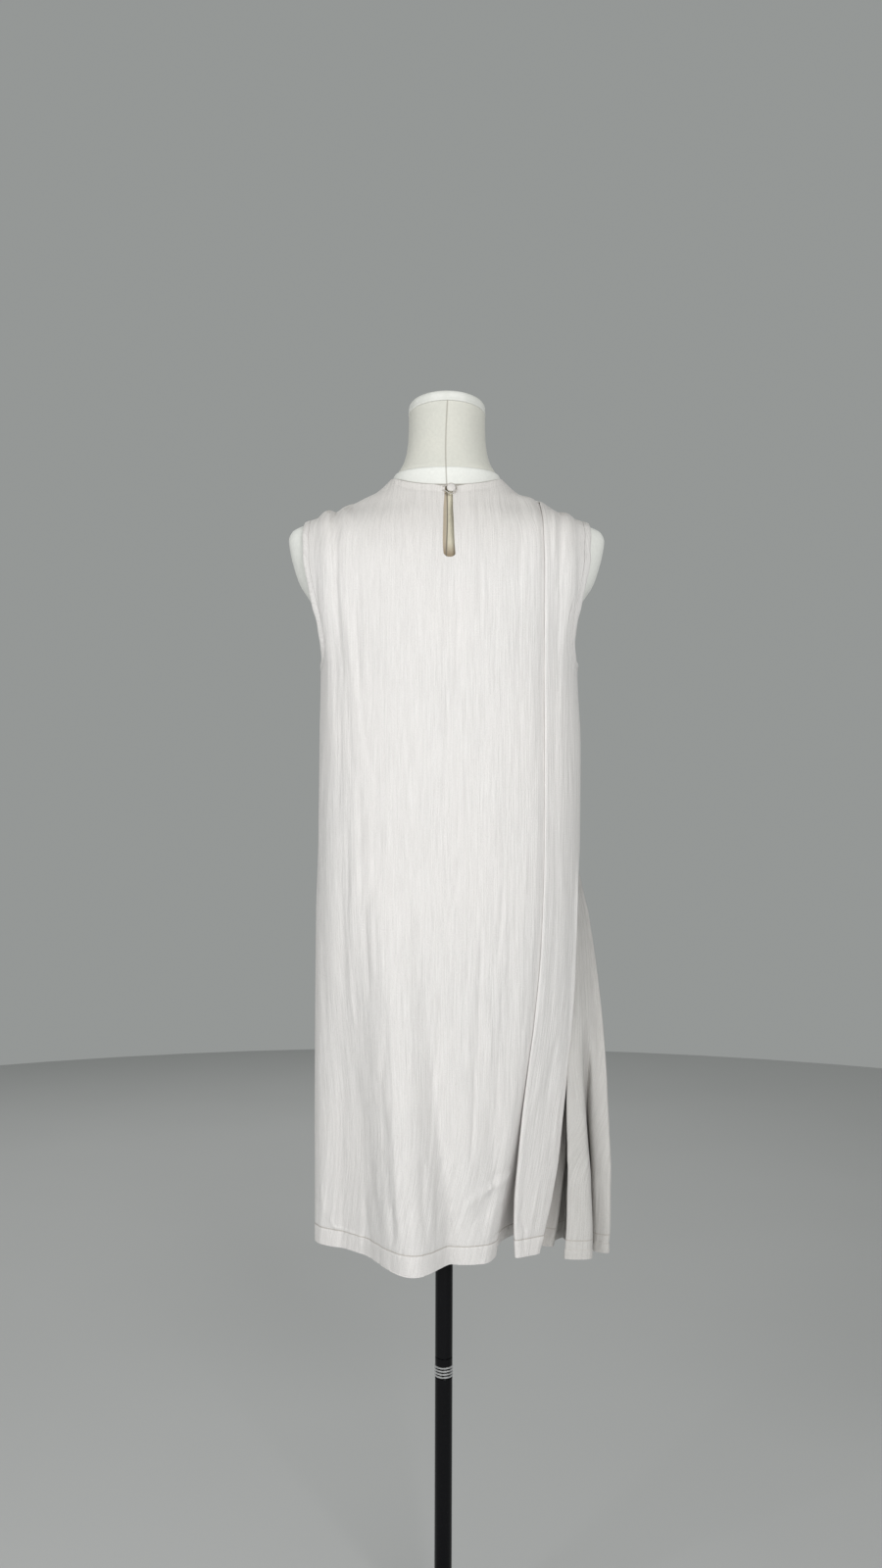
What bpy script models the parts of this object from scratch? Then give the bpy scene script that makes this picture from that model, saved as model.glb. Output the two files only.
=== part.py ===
"""A sleeveless pleated shift dress on a limbless dress form with a pole stand.

Metres, +Z up. The origin is on the pole's axis at the underside of the base. The back of the dress
faces -Y, and the pleated side insert is on the +X side. The cloth is a set of closed walls, each
worked out from a table of whole-garment sections and short tables of folds.
"""

import math

import bmesh
import bpy
import numpy as np

# Cloth
WALL = 0.0013
SEAM = 0.00033
SEAM_REACH = 0.0015
HEM_Z = 0.512
UNDERARM_Z = 1.231
SHOULDER_TIP_X = 0.168
SHOULDER_TIP_Z = 1.4212
NECK_SIDE_X = 0.0705
NECK_SIDE_Z = 1.4712
NECK_BACK_Z = 1.4545
NECK_FRONT_Z = 1.405
BINDING_WIDTH = 0.009
BINDING_WALL = 0.0016
BINDING_GAP = 0.0006

# Keyhole slit at the centre back
SLIT_BOTTOM_Z = 1.366
SLIT_TOP_X = (-0.0024, 0.0088)
SLIT_LOW_X = (-0.0080, 0.0084)
SLIT_ROUND = 0.0035
SLIT_REACH = 0.05
SLIT_FADE = 0.9

# Button and loop
BUTTON_X = 0.0052
BUTTON_Z = 1.4505
BUTTON_RADIUS = 0.0055
SHANK_X = 0.0099
SHANK_RADIUS = 0.0009
LOOP_RADIUS = 0.0066
LOOP_CORD = 0.0007
LOOP_LIFT = 0.0010
LOOP_END = (-0.0052, 0.0020)

# Opening for the side insert
OPENING_TOP_Z = 1.02
OPENING_EASE = 0.085
INSERT_TOP_Z = 0.985
TURN_BULGE = 0.0042
TURN_DROP = 0.0035

# Stand
POLE_RADIUS = 0.011
COUPLING_TOP_Z = 0.369
RING_TOP_Z = 0.3592
RING_PITCH = 0.0038
RING_HEIGHT = 0.0027
RING_RADIUS = 0.0115
RINGS = 4
CORE_RADIUS = 0.0092
BASE_RADIUS = 0.160
BASE_HEIGHT = 0.009
HUB_RADIUS = 0.030
HUB_HEIGHT = 0.024
FORM_BOTTOM_Z = 0.86
SOCKET_RADIUS = 0.034
SOCKET_HEIGHT = 0.030

# Dress form's neck cap, tilted down towards the front
CAP_Z = 1.5605
CAP_RADIUS = 0.0485
CAP_BAND = 0.014
CAP_TILT = math.radians(10)

SECTION_COLUMNS = ("z", "left", "right", "back", "front", "side_y", "power")
SECTIONS = (
    (0.512, 0.1635, 0.170, 0.0780, 0.088, 0.012, 1.50),
    (0.650, 0.1637, 0.170, 0.0900, 0.098, 0.006, 1.65),
    (0.800, 0.1632, 0.170, 0.1010, 0.106, 0.001, 1.85),
    (0.930, 0.1622, 0.169, 0.1085, 0.111, 0.000, 2.10),
    (1.020, 0.1598, 0.168, 0.1090, 0.112, 0.000, 2.20),
    (1.140, 0.1588, 0.169, 0.1065, 0.114, 0.000, 2.25),
    (1.231, 0.1575, 0.165, 0.1030, 0.117, 0.000, 2.20),
    (1.262, 0.1650, 0.169, 0.1020, 0.117, 0.000, 2.15),
    (1.290, 0.1765, 0.178, 0.1010, 0.114, 0.000, 2.10),
    (1.330, 0.1930, 0.193, 0.0975, 0.106, 0.000, 2.00),
    (1.370, 0.2035, 0.2035, 0.0905, 0.094, 0.000, 1.95),
    (1.3940, 0.2035, 0.2035, 0.0840, 0.084, 0.000, 1.85),
    (1.4080, 0.1965, 0.1965, 0.0785, 0.077, 0.000, 1.75),
    (1.4162, 0.1820, 0.182, 0.0750, 0.073, 0.000, 1.65),
    (1.4212, 0.1680, 0.168, 0.0730, 0.070, 0.000, 1.60),
    (1.4254, 0.1550, 0.155, 0.0712, 0.068, 0.000, 1.55),
    (1.4330, 0.1330, 0.133, 0.0675, 0.064, 0.000, 1.50),
    (1.4398, 0.1200, 0.120, 0.0643, 0.061, 0.000, 1.50),
    (1.4472, 0.1060, 0.106, 0.0608, 0.058, 0.000, 1.55),
    (1.4548, 0.0896, 0.0896, 0.0580, 0.056, 0.000, 1.65),
    (1.4712, 0.0705, 0.0705, 0.0550, 0.055, 0.000, 1.80),
)

# How much of the section's half width the cloth keeps beside the armhole.
ARMHOLE_COLUMNS = ("z", "cut")
ARMHOLE = (
    (1.2310, 1.000),
    (1.2318, 0.993),
    (1.2345, 0.974),
    (1.2430, 0.944),
    (1.2600, 0.908),
    (1.2900, 0.868),
    (1.3300, 0.842),
    (1.3700, 0.828),
    (1.3940, 0.834),
    (1.4080, 0.860),
    (1.4162, 0.928),
    (1.4212, 1.000),
)

# Right-hand edges of the panels: the long pleat's line, and where the panels fold under beside the
# insert. Below the opening's top the fold edges draw inwards.
EDGE_COLUMNS = ("z", "pleat_x", "back_edge_x", "front_edge_x", "turn_x", "turn_y")
EDGES = (
    (0.512, 0.0865, 0.1129, 0.1340, -0.0070, 0.036),
    (0.553, 0.0845, 0.1230, 0.1400, -0.0060, 0.036),
    (0.583, 0.0850, 0.1290, 0.1440, -0.0060, 0.036),
    (0.619, 0.0878, 0.1350, 0.1480, -0.0050, 0.036),
    (0.692, 0.0945, 0.1425, 0.1530, -0.0040, 0.035),
    (0.742, 0.1005, 0.1480, 0.1560, -0.0030, 0.034),
    (0.802, 0.1072, 0.1530, 0.1580, -0.0010, 0.030),
    (0.900, 0.1140, 0.1575, 0.1600, 0.0010, 0.020),
    (1.020, 0.1168, 0.1600, 0.1610, 0.0020, 0.010),
    (1.231, 0.1160, 0.1540, 0.1540, 0.0020, 0.010),
    (1.330, 0.1158, 0.1580, 0.1580, 0.0020, 0.010),
    (1.395, 0.1150, 0.1590, 0.1590, 0.0020, 0.010),
    (1.450, 0.1126, 0.1600, 0.1600, 0.0020, 0.010),
)

# The long pleat, across the cloth: x from its line, and depth below the band that lies on top.
# Closed from the shoulder to the hip, it opens into a valley at the hem.
PLEAT_COLUMNS = ("closed_x", "closed_depth", "open_x", "open_depth")
PLEAT = (
    (-0.0160, 0.0000, -0.0480, -0.0040),
    (-0.0085, 0.0010, -0.0340, -0.0040),
    (-0.0030, 0.0038, -0.0275, 0.0090),
    (0.0020, 0.0046, -0.0225, 0.0500),
    (0.0075, 0.0046, -0.0190, 0.0700),
    (0.0087, 0.0034, -0.0130, 0.0770),
    (0.0075, 0.0023, -0.0065, 0.0680),
    (0.0012, 0.0023, -0.0005, 0.0470),
    (0.0000, 0.0011, 0.0040, 0.0280),
    (0.0012, 0.0000, 0.0090, 0.0140),
    (0.0070, 0.0000, 0.0170, 0.0030),
)
PLEAT_CLOSED_Z = 1.00
PLEAT_OPENING_POWER = 2.3

# Soft folds: where each starts and ends, its height out of the cloth and its half widths.
FOLD_COLUMNS = (
    "top_z", "top_x", "top_height", "top_width",
    "low_z", "low_x", "low_height", "low_left", "low_right",
)
BACK_FOLDS = {
    "hem_ridge": (1.00, -0.074, 0.000, 0.040, 0.512, -0.040, 0.046, 0.055, 0.047),
    "side_hollow": (0.95, -0.128, 0.000, 0.030, 0.512, -0.122, -0.010, 0.032, 0.030),
    "seat_fall": (0.90, 0.020, 0.000, 0.040, 0.512, 0.036, 0.006, 0.030, 0.024),
    "slit_hollow": (1.36, 0.004, -0.004, 0.022, 1.10, 0.002, 0.000, 0.030, 0.030),
    "left_tuck_outer": (1.430, -0.150, 0.0060, 0.012, 1.10, -0.139, 0.0010, 0.012, 0.012),
    "left_tuck_inner": (1.435, -0.127, 0.0030, 0.012, 1.05, -0.112, 0.0012, 0.014, 0.014),
    "right_tuck": (1.430, 0.150, 0.0042, 0.011, 1.15, 0.142, 0.0010, 0.010, 0.010),
    "pleat_rise": (1.444, 0.119, 0.0048, 0.028, 1.30, 0.118, 0.0000, 0.030, 0.030),
}
FRONT_FOLDS = {
    "left_ridge": (1.05, -0.085, 0.000, 0.040, 0.512, -0.074, 0.030, 0.044, 0.050),
    "right_ridge": (1.00, 0.060, 0.000, 0.040, 0.512, 0.068, 0.026, 0.044, 0.040),
    "centre_fall": (0.95, -0.010, 0.000, 0.040, 0.512, -0.006, -0.010, 0.034, 0.034),
    "left_tuck_outer": (1.430, -0.150, 0.0060, 0.012, 1.10, -0.136, 0.0010, 0.012, 0.012),
    "left_tuck_inner": (1.435, -0.127, 0.0030, 0.012, 1.05, -0.110, 0.0012, 0.014, 0.014),
    "right_tuck_inner": (1.441, 0.118, 0.0045, 0.012, 1.08, 0.108, 0.0010, 0.014, 0.014),
    "right_tuck_outer": (1.430, 0.150, 0.0045, 0.012, 1.12, 0.138, 0.0010, 0.012, 0.012),
}

# The side insert's pleats at the hem, from the back seam round to the front seam.
INSERT_PLEATS = {
    "first_face": (0.1236, -0.0095),
    "first_valley": (0.1317, -0.0165),
    "first_rise": (0.1440, -0.0450),
    "first_crown": (0.1560, -0.0575),
    "first_edge": (0.1782, -0.0570),
    "second_valley": (0.1838, -0.0290),
    "second_face": (0.1925, -0.0320),
    "second_edge": (0.2005, -0.0360),
    "third_valley": (0.1895, -0.0080),
    "third_edge": (0.2010, 0.0120),
    "fourth_valley": (0.1800, 0.0200),
    "fourth_edge": (0.1875, 0.0500),
    "last_valley": (0.1600, 0.0420),
}
INSERT_SPREAD = 0.76

# Dress form: smooth sections on a general figure, clear of the cloth.
FORM_COLUMNS = ("z", "half", "back", "front", "power")
FORM_SECTIONS = (
    (0.860, 0.136, 0.082, 0.080, 2.2),
    (0.900, 0.142, 0.092, 0.085, 2.2),
    (0.950, 0.1425, 0.097, 0.087, 2.2),
    (1.010, 0.134, 0.093, 0.084, 2.15),
    (1.070, 0.122, 0.084, 0.082, 2.1),
    (1.120, 0.117, 0.078, 0.083, 2.1),
    (1.180, 0.127, 0.080, 0.093, 2.1),
    (1.240, 0.144, 0.087, 0.103, 2.1),
    (1.290, 0.158, 0.089, 0.102, 2.0),
    (1.317, 0.1700, 0.088, 0.097, 2.0),
    (1.339, 0.1840, 0.085, 0.090, 2.0),
    (1.3600, 0.1915, 0.081, 0.083, 1.95),
    (1.3800, 0.1965, 0.076, 0.076, 1.9),
    (1.3960, 0.1985, 0.070, 0.069, 1.85),
    (1.4060, 0.1945, 0.0660, 0.0645, 1.8),
    (1.4120, 0.1850, 0.0630, 0.0615, 1.7),
    (1.4178, 0.1670, 0.0605, 0.0585, 1.6),
    (1.4235, 0.1530, 0.0585, 0.0565, 1.55),
    (1.4318, 0.1320, 0.0555, 0.0535, 1.5),
    (1.4407, 0.1150, 0.0530, 0.0510, 1.5),
    (1.4494, 0.0975, 0.0510, 0.0500, 1.55),
    (1.4574, 0.0820, 0.0500, 0.0500, 1.65),
    (1.4656, 0.0700, 0.0490, 0.0495, 1.8),
    (1.4765, 0.0655, 0.0485, 0.0490, 1.9),
    (1.4870, 0.0580, 0.0480, 0.0488, 1.95),
    (1.4950, 0.0540, 0.0475, 0.0485, 2.0),
    (1.5100, 0.0502, 0.0472, 0.0482, 2.0),
    (1.5250, 0.0486, 0.0470, 0.0480, 2.0),
    (1.5400, 0.0480, 0.0470, 0.0475, 2.0),
)
NECK_LEAN = 0.004
NECK_LEAN_FROM_Z = 1.44


class Table:
    """Columns of a table by name, each a smooth function of the table's first column."""

    def __init__(self, names, rows):
        data = np.array(rows, float)
        self.at = data[:, 0]
        self.columns = {name: data[:, i] for i, name in enumerate(names)}
        self.slopes = {name: self.slope(values) for name, values in self.columns.items()}

    def slope(self, values):
        """Slopes that never overshoot between two rows."""
        steps = np.diff(self.at)
        rises = np.diff(values) / steps
        slopes = np.zeros(len(values))
        slopes[0] = rises[0]
        slopes[-1] = rises[-1]
        before, after = rises[:-1], rises[1:]
        same_way = before * after > 0
        total = np.where(same_way, before + after, 1.0)
        slopes[1:-1] = np.where(same_way, 2.0 * before * after / total, 0.0)
        return slopes

    def __call__(self, name, z):
        z = np.clip(np.asarray(z, float), self.at[0], self.at[-1])
        row = np.clip(np.searchsorted(self.at, z, side="right") - 1, 0, len(self.at) - 2)
        step = self.at[row + 1] - self.at[row]
        t = (z - self.at[row]) / step
        values, slopes = self.columns[name], self.slopes[name]
        return (
            values[row] * (1 + 2 * t) * (1 - t) ** 2
            + slopes[row] * step * t * (1 - t) ** 2
            + values[row + 1] * t * t * (3 - 2 * t)
            + slopes[row + 1] * step * t * t * (t - 1)
        )


SECTION = Table(SECTION_COLUMNS, SECTIONS)
CUT = Table(ARMHOLE_COLUMNS, ARMHOLE)
EDGE = Table(EDGE_COLUMNS, EDGES)
FORM = Table(FORM_COLUMNS, FORM_SECTIONS)
SHOULDER_LINE = Table(("x", "z"), sorted((row[1], row[0]) for row in SECTIONS[14:]))

BACK, FRONT = -1, 1


def ease(t):
    """0 to 1 with a soft start and a soft end."""
    t = np.clip(t, 0.0, 1.0)
    return t * t * (3.0 - 2.0 * t)


def spline(anchors, per_span):
    """Points on a smooth curve through anchors of shape (rows, anchors, values)."""
    chords = np.linalg.norm(np.diff(anchors, axis=1), axis=2, keepdims=True)
    unit = np.diff(anchors, axis=1) / chords
    tangents = np.empty_like(anchors)
    tangents[:, 0] = unit[:, 0]
    tangents[:, -1] = unit[:, -1]
    before, after = chords[:, :-1], chords[:, 1:]
    tangents[:, 1:-1] = (unit[:, :-1] * after + unit[:, 1:] * before) / (before + after)
    points = [anchors[:, :1]]
    for step in range(1, per_span + 1):
        t = step / per_span
        points.append(
            anchors[:, :-1] * (1 + 2 * t) * (1 - t) ** 2
            + tangents[:, :-1] * chords * t * (1 - t) ** 2
            + anchors[:, 1:] * t * t * (3 - 2 * t)
            + tangents[:, 1:] * chords * t * t * (t - 1)
        )
    spans = np.stack(points[1:], axis=2)
    return np.concatenate([points[0], spans.reshape(len(anchors), -1, anchors.shape[2])], axis=1)


def section_y(x, z, side):
    """The cloth's y at x and z, before any fold, on the back or the front."""
    half = np.where(x < 0, SECTION("left", z), SECTION("right", z))
    power = SECTION("power", z)
    centre_y = -SECTION("back", z) if side == BACK else SECTION("front", z)
    side_y = SECTION("side_y", z)
    share = np.clip(np.abs(x) / half, 0.0, 1.0)
    return side_y + (centre_y - side_y) * (1.0 - share**power) ** (1.0 / power)


def section_normal(points, side):
    """Outward normals of the unfolded section at points on or near it."""
    def level(x, y, z):
        half = np.where(x < 0, SECTION("left", z), SECTION("right", z))
        depth = SECTION("back", z) if side == BACK else SECTION("front", z)
        power = SECTION("power", z)
        across = np.abs(x) / half
        along = np.abs(y - SECTION("side_y", z)) / depth
        return across**power + along**power

    step = 0.0005
    slopes = []
    for shift in np.eye(3) * step:
        slopes.append(level(*(points + shift).T) - level(*(points - shift).T))
    normal = np.stack(slopes, axis=1)
    return normal / np.linalg.norm(normal, axis=1, keepdims=True)


def fold_height(x, z, folds):
    """How far the soft folds stand out of the cloth at x and z."""
    total = np.zeros(np.broadcast(x, z).shape)
    for row in folds.values():
        fold = dict(zip(FOLD_COLUMNS, row))
        run = np.clip((fold["top_z"] - z) / (fold["top_z"] - fold["low_z"]), 0.0, 1.0)
        centre = fold["top_x"] + (fold["low_x"] - fold["top_x"]) * run
        height = fold["top_height"] + (fold["low_height"] - fold["top_height"]) * run
        away = x - centre
        low_width = np.where(away < 0, fold["low_left"], fold["low_right"])
        width = fold["top_width"] + (low_width - fold["top_width"]) * run
        total = total + height * np.clip(1.0 - (away / width) ** 2, 0.0, 1.0) ** 1.5
    return total


def top_z(x, side):
    """Height of the panel's top edge: the shoulder seam, and the neckline between."""
    neck_z = NECK_BACK_Z if side == BACK else NECK_FRONT_Z
    share = np.clip(np.abs(x) / NECK_SIDE_X, 0.0, 1.0)
    neckline = neck_z + (NECK_SIDE_Z - neck_z) * share**2.4
    return np.where(np.abs(x) < NECK_SIDE_X, neckline, SHOULDER_LINE("z", np.abs(x)))


def pleat_openness(z):
    """0 where the long pleat is closed, 1 at the hem."""
    run = np.clip((PLEAT_CLOSED_Z - z) / (PLEAT_CLOSED_Z - HEM_Z), 0.0, 1.0)
    return run**PLEAT_OPENING_POWER


def upper_rise(w):
    """Share of the way from the underarm to the top edge, with rows closer near the top."""
    return np.sin(0.5 * math.pi * np.asarray(w))


def row_heights(rows, x_top, side):
    """Heights of the rows for columns that reach the top edge at x_top."""
    lower, upper = rows
    low = np.repeat(np.array(lower)[:, None], len(x_top), axis=1)
    reach = top_z(x_top, side) - UNDERARM_Z
    high = UNDERARM_Z + upper_rise(upper)[:, None] * reach[None, :]
    return np.concatenate([low, high])


def edge_x(rows, end):
    """The panel's outline at its side seam and armhole, -1 left or +1 right, for every row."""
    lower, upper = rows
    column = "left" if end < 0 else "right"
    high_z = UNDERARM_Z + upper_rise(upper) * (SHOULDER_TIP_Z - UNDERARM_Z)
    low = SECTION(column, np.array(lower))
    high = SECTION(column, high_z) * CUT("cut", high_z)
    return end * np.concatenate([low, high])


def side_spread(t):
    """Column spacing that is closer near the side seam, where the cloth turns the corner."""
    return t * (0.16 + 0.84 * t) / (0.16 + 0.84)


def neck_spread(t):
    """Column spacing that is closer near both neck corners, where the neckline turns steeply."""
    across = 2.0 * t - 1.0
    return 0.5 + 0.5 * math.copysign(1.0 - (1.0 - abs(across)) ** 2.6, across)


def outward(points, side):
    """Unit normals of a grid of points, pointing out of the dress."""
    across = np.gradient(points, axis=1)
    up = np.gradient(points, axis=0)
    normal = np.cross(across, up)
    if side == FRONT:
        normal = -normal
    return normal / np.linalg.norm(normal, axis=2, keepdims=True)


def mitred(points):
    """Level offsets for a unit of thickness that keep a wall even round its knife edges."""
    along = np.diff(points[:, :, :2], axis=1)
    along /= np.linalg.norm(along, axis=2, keepdims=True)
    sideways = np.stack([along[:, :, 1], -along[:, :, 0], np.zeros(along.shape[:2])], axis=2)
    before = np.concatenate([sideways[:, :1], sideways], axis=1)
    after = np.concatenate([sideways, sideways[:, -1:]], axis=1)
    return (before + after) / (1.0 + (before * after).sum(axis=2, keepdims=True))


def place(x, z, side):
    """Base points of the cloth from x and z."""
    return np.stack([x, section_y(x, z, side), z], axis=2)


def lift(points, height, side):
    """Move points of the unfolded cloth out of it, keeping their x."""
    x, z = points[:, :, 0], points[:, :, 2]
    step = 0.001
    slope = (section_y(x, z + step, side) - section_y(x, z - step, side)) / (2.0 * step)
    slope = np.clip(slope, -6.0, 6.0)
    normal = np.stack([np.zeros_like(x), np.full_like(x, side), -side * slope], axis=2)
    normal /= np.linalg.norm(normal, axis=2, keepdims=True)
    return points + normal * height[:, :, None]


def turn_under(rows, count, side):
    """The right-hand end of a panel: round to the side seam, and folded under below it."""
    lower, upper = rows
    edge_name = "back_edge_x" if side == BACK else "front_edge_x"
    x_right = edge_x(rows, 1)
    tip_rows = row_heights(rows, np.array([SHOULDER_TIP_X]), side)[:, 0]
    x_edge = np.minimum(EDGE(edge_name, tip_rows), x_right - 0.006)
    t = np.linspace(0.0, 1.0, count + 1)[None, :]
    spread = 1.0 - (1.0 - t) ** 2
    x_closed = x_edge[:, None] + (x_right - x_edge)[:, None] * spread
    top_x = x_closed[-1]
    z = row_heights(rows, top_x, side)
    closed = place(x_closed, z, side)
    edge_y = section_y(x_edge, tip_rows, side)
    turn_x = EDGE("turn_x", tip_rows)
    turn_y = EDGE("turn_y", tip_rows)
    anchors = np.stack(
        [
            np.stack([x_edge, edge_y], axis=1),
            np.stack([x_edge + TURN_BULGE, edge_y - side * TURN_DROP], axis=1),
            np.stack([x_edge + 0.7 * TURN_BULGE, edge_y - side * (TURN_DROP + 0.2 * turn_y)], axis=1),
            np.stack([x_edge + turn_x, edge_y - side * turn_y], axis=1),
        ],
        axis=1,
    )
    curve = spline(anchors, 8)
    along = np.linspace(0, curve.shape[1] - 1, count + 1).round().astype(int)
    opened = np.concatenate([curve[:, along], z[:, :, None]], axis=2)
    amount = ease((OPENING_TOP_Z - z) / OPENING_EASE)[:, :, None]
    return closed + (opened - closed) * amount


def back_panel_points(rows, main, per_pleat_span, band, turn):
    """Mid-surface of the back panel: main part, long pleat, band, and the turned-under end."""
    x_left = edge_x(rows, -1)
    tip_rows = row_heights(rows, np.array([SHOULDER_TIP_X]), BACK)[:, 0]
    x_pleat = EDGE("pleat_x", tip_rows)
    openness = pleat_openness(tip_rows)[:, None, None]
    table = np.array(PLEAT)
    profile = spline(table[None, :, :2] + (table[None, :, 2:] - table[None, :, :2]) * openness,
                     per_pleat_span)
    x_fold = x_pleat[:, None] + profile[:, :, 0]
    marks = (x_left[-1], -NECK_SIDE_X, *SLIT_TOP_X, NECK_SIDE_X, x_fold[-1, 0])
    shares = span_shares(marks, main)
    x_main = x_left[:, None] + (x_fold[:, 0] - x_left)[:, None] * shares[None, :]
    end = turn_under(rows, turn, BACK)
    x_end = end[:, 0, 0]
    steps = np.linspace(0.0, 1.0, band + 1)[None, 1:-1]
    x_band = x_fold[:, -1:] + (x_end[:, None] - x_fold[:, -1:]) * steps
    x = np.concatenate([x_main[:, :-1], x_fold, x_band], axis=1)
    x = open_slit_columns(x, rows)
    z = row_heights(rows, x[-1], BACK)
    depth = np.zeros_like(x)
    first = x_main.shape[1] - 1
    depth[:, first:first + x_fold.shape[1]] = profile[:, :, 1]
    points = place(x, z, BACK)
    points = lift(points, fold_height(x, z, BACK_FOLDS) - depth, BACK)
    return np.concatenate([points, end], axis=1)


def span_shares(marks, counts):
    """Column shares between the marks, closer where the cloth turns at the side and the neck."""
    spacing = {"side": side_spread, "after": lambda t: t * t, "before": lambda t: t * (2.0 - t),
               "neck": neck_spread, "even": lambda t: t}
    shares = [0.0]
    for low, high, (count, kind) in zip(marks[:-1], marks[1:], counts):
        for step in range(1, count + 1):
            x = low + (high - low) * spacing[kind](step / count)
            shares.append((x - marks[0]) / (marks[-1] - marks[0]))
    return np.array(shares)


def slit_share(w):
    """How far down the slit a row lies: 0 at the neckline, 1 at the slit's bottom."""
    z = UNDERARM_Z + upper_rise(w) * (NECK_BACK_Z - UNDERARM_Z)
    return (NECK_BACK_Z - z) / (NECK_BACK_Z - SLIT_BOTTOM_Z)


def open_slit_columns(x, rows):
    """Widen the columns beside the slit towards its rounded bottom."""
    lower, upper = rows
    down = np.concatenate([np.full(len(lower), 1.0), np.clip(slit_share(upper), 0.0, 1.0)])
    below = np.concatenate([np.full(len(lower), 9.0), slit_share(upper)])
    keep = 1.0 - ease((below - 1.0) / SLIT_FADE)
    width = SLIT_TOP_X[1] - SLIT_TOP_X[0]
    out = x.copy()
    for way, top, low in zip((-1, 1), SLIT_TOP_X, SLIT_LOW_X):
        own_side = np.clip(1.0 + way * (x - top) / width, 0.0, 1.0)
        near = np.clip(1.0 - np.abs(x - top) / SLIT_REACH, 0.0, 1.0)
        out = out + ((low - top) * down * keep)[:, None] * near * own_side
    return out


def front_panel_points(rows, main, turn):
    """Mid-surface of the plain front panel."""
    x_left = edge_x(rows, -1)
    end = turn_under(rows, turn, FRONT)
    x_end = end[:, 0, 0]
    marks = (x_left[-1], -NECK_SIDE_X, NECK_SIDE_X, x_end[-1])
    shares = span_shares(marks, main)[:-1]
    x = x_left[:, None] + (x_end - x_left)[:, None] * shares[None, :]
    z = row_heights(rows, x[-1], FRONT)
    points = lift(place(x, z, FRONT), fold_height(x, z, FRONT_FOLDS), FRONT)
    return np.concatenate([points, end], axis=1)


def part_seams(points, side, first_upper):
    """Hold the side and shoulder seams half a seam gap away from the other panel."""
    out = points.copy()
    half = 0.5 * SEAM + 0.0001
    limit = seam_y(out) + side * half
    at_seam = np.zeros(out.shape[:2], bool)
    at_seam[:, 0] = at_seam[:, -1] = at_seam[first_upper:] = True
    past = side * (out[:, :, 1] - limit) < 0
    out[:, :, 1] = np.where(at_seam & past, limit, out[:, :, 1])
    return out


def seam_y(points):
    """The y of the plane where back and front meet."""
    return SECTION("side_y", points[:, :, 2])


def insert_points(rows_z, back_edge, front_edge, per_span):
    """Mid-surface of the side insert between the two panels' turned-under edges."""
    hem = np.array(list(INSERT_PLEATS.values()))
    share = np.linspace(0.0, 1.0, len(hem) + 2)
    run = np.clip((INSERT_TOP_Z - rows_z) / (INSERT_TOP_Z - HEM_Z), 0.0, 1.0) ** INSERT_SPREAD
    line = back_edge[:, None, :] + (front_edge - back_edge)[:, None, :] * share[None, :, None]
    out = np.zeros((len(rows_z), len(share), 2))
    out[:, 1:-1] = (hem - line[0, 1:-1])[None] * run[:, None, None]
    bulge = 0.004 * np.sin(math.pi * share)[None, :] * (1.0 - run)[:, None]
    line = line + out
    line[:, :, 0] += bulge
    curve = spline(line, per_span)
    z = np.repeat(rows_z[:, None], curve.shape[1], axis=1)
    return np.concatenate([curve, z[:, :, None]], axis=2)


def material(name, colour, roughness, metallic=0.0):
    shader = bpy.data.materials.new(name)
    shader.use_nodes = True
    surface = shader.node_tree.nodes["Principled BSDF"]
    surface.inputs["Base Color"].default_value = (*colour, 1.0)
    surface.inputs["Roughness"].default_value = roughness
    surface.inputs["Metallic"].default_value = metallic
    shader.diffuse_color = (*colour, 1.0)
    return shader


def add_object(name, mesh, shader, smooth=True):
    piece = bpy.data.objects.new(name, mesh)
    bpy.context.scene.collection.objects.link(piece)
    mesh.materials.append(shader)
    if smooth:
        mesh.shade_smooth()
        mesh.set_sharp_from_angle(angle=math.radians(40))
    return piece


def mesh_from(name, points, faces):
    mesh = bpy.data.meshes.new(name)
    mesh.from_pydata([tuple(p) for p in points], [], faces)
    shape = bmesh.new()
    shape.from_mesh(mesh)
    bmesh.ops.remove_doubles(shape, verts=shape.verts, dist=1e-7)
    bmesh.ops.triangulate(shape, faces=shape.faces)
    bmesh.ops.recalc_face_normals(shape, faces=shape.faces)
    shape.to_mesh(mesh)
    shape.free()
    return mesh


def panel_normals(middle, side, first_upper):
    """Normals of a panel, kept level with the seam plane where the panel meets a seam."""
    normal = outward(middle, side)
    for column in (0, -1):
        normal[first_upper:, column] = section_normal(middle[first_upper:, column], side)
    edge = np.zeros(middle.shape[:2], bool)
    edge[:, 0] = edge[:, -1] = edge[-1] = True
    edge &= np.abs(middle[:, :, 1] - seam_y(middle)) < SEAM_REACH
    normal[:, :, 1] = np.where(edge, 0.0, normal[:, :, 1])
    return normal / np.linalg.norm(normal, axis=2, keepdims=True)


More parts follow.
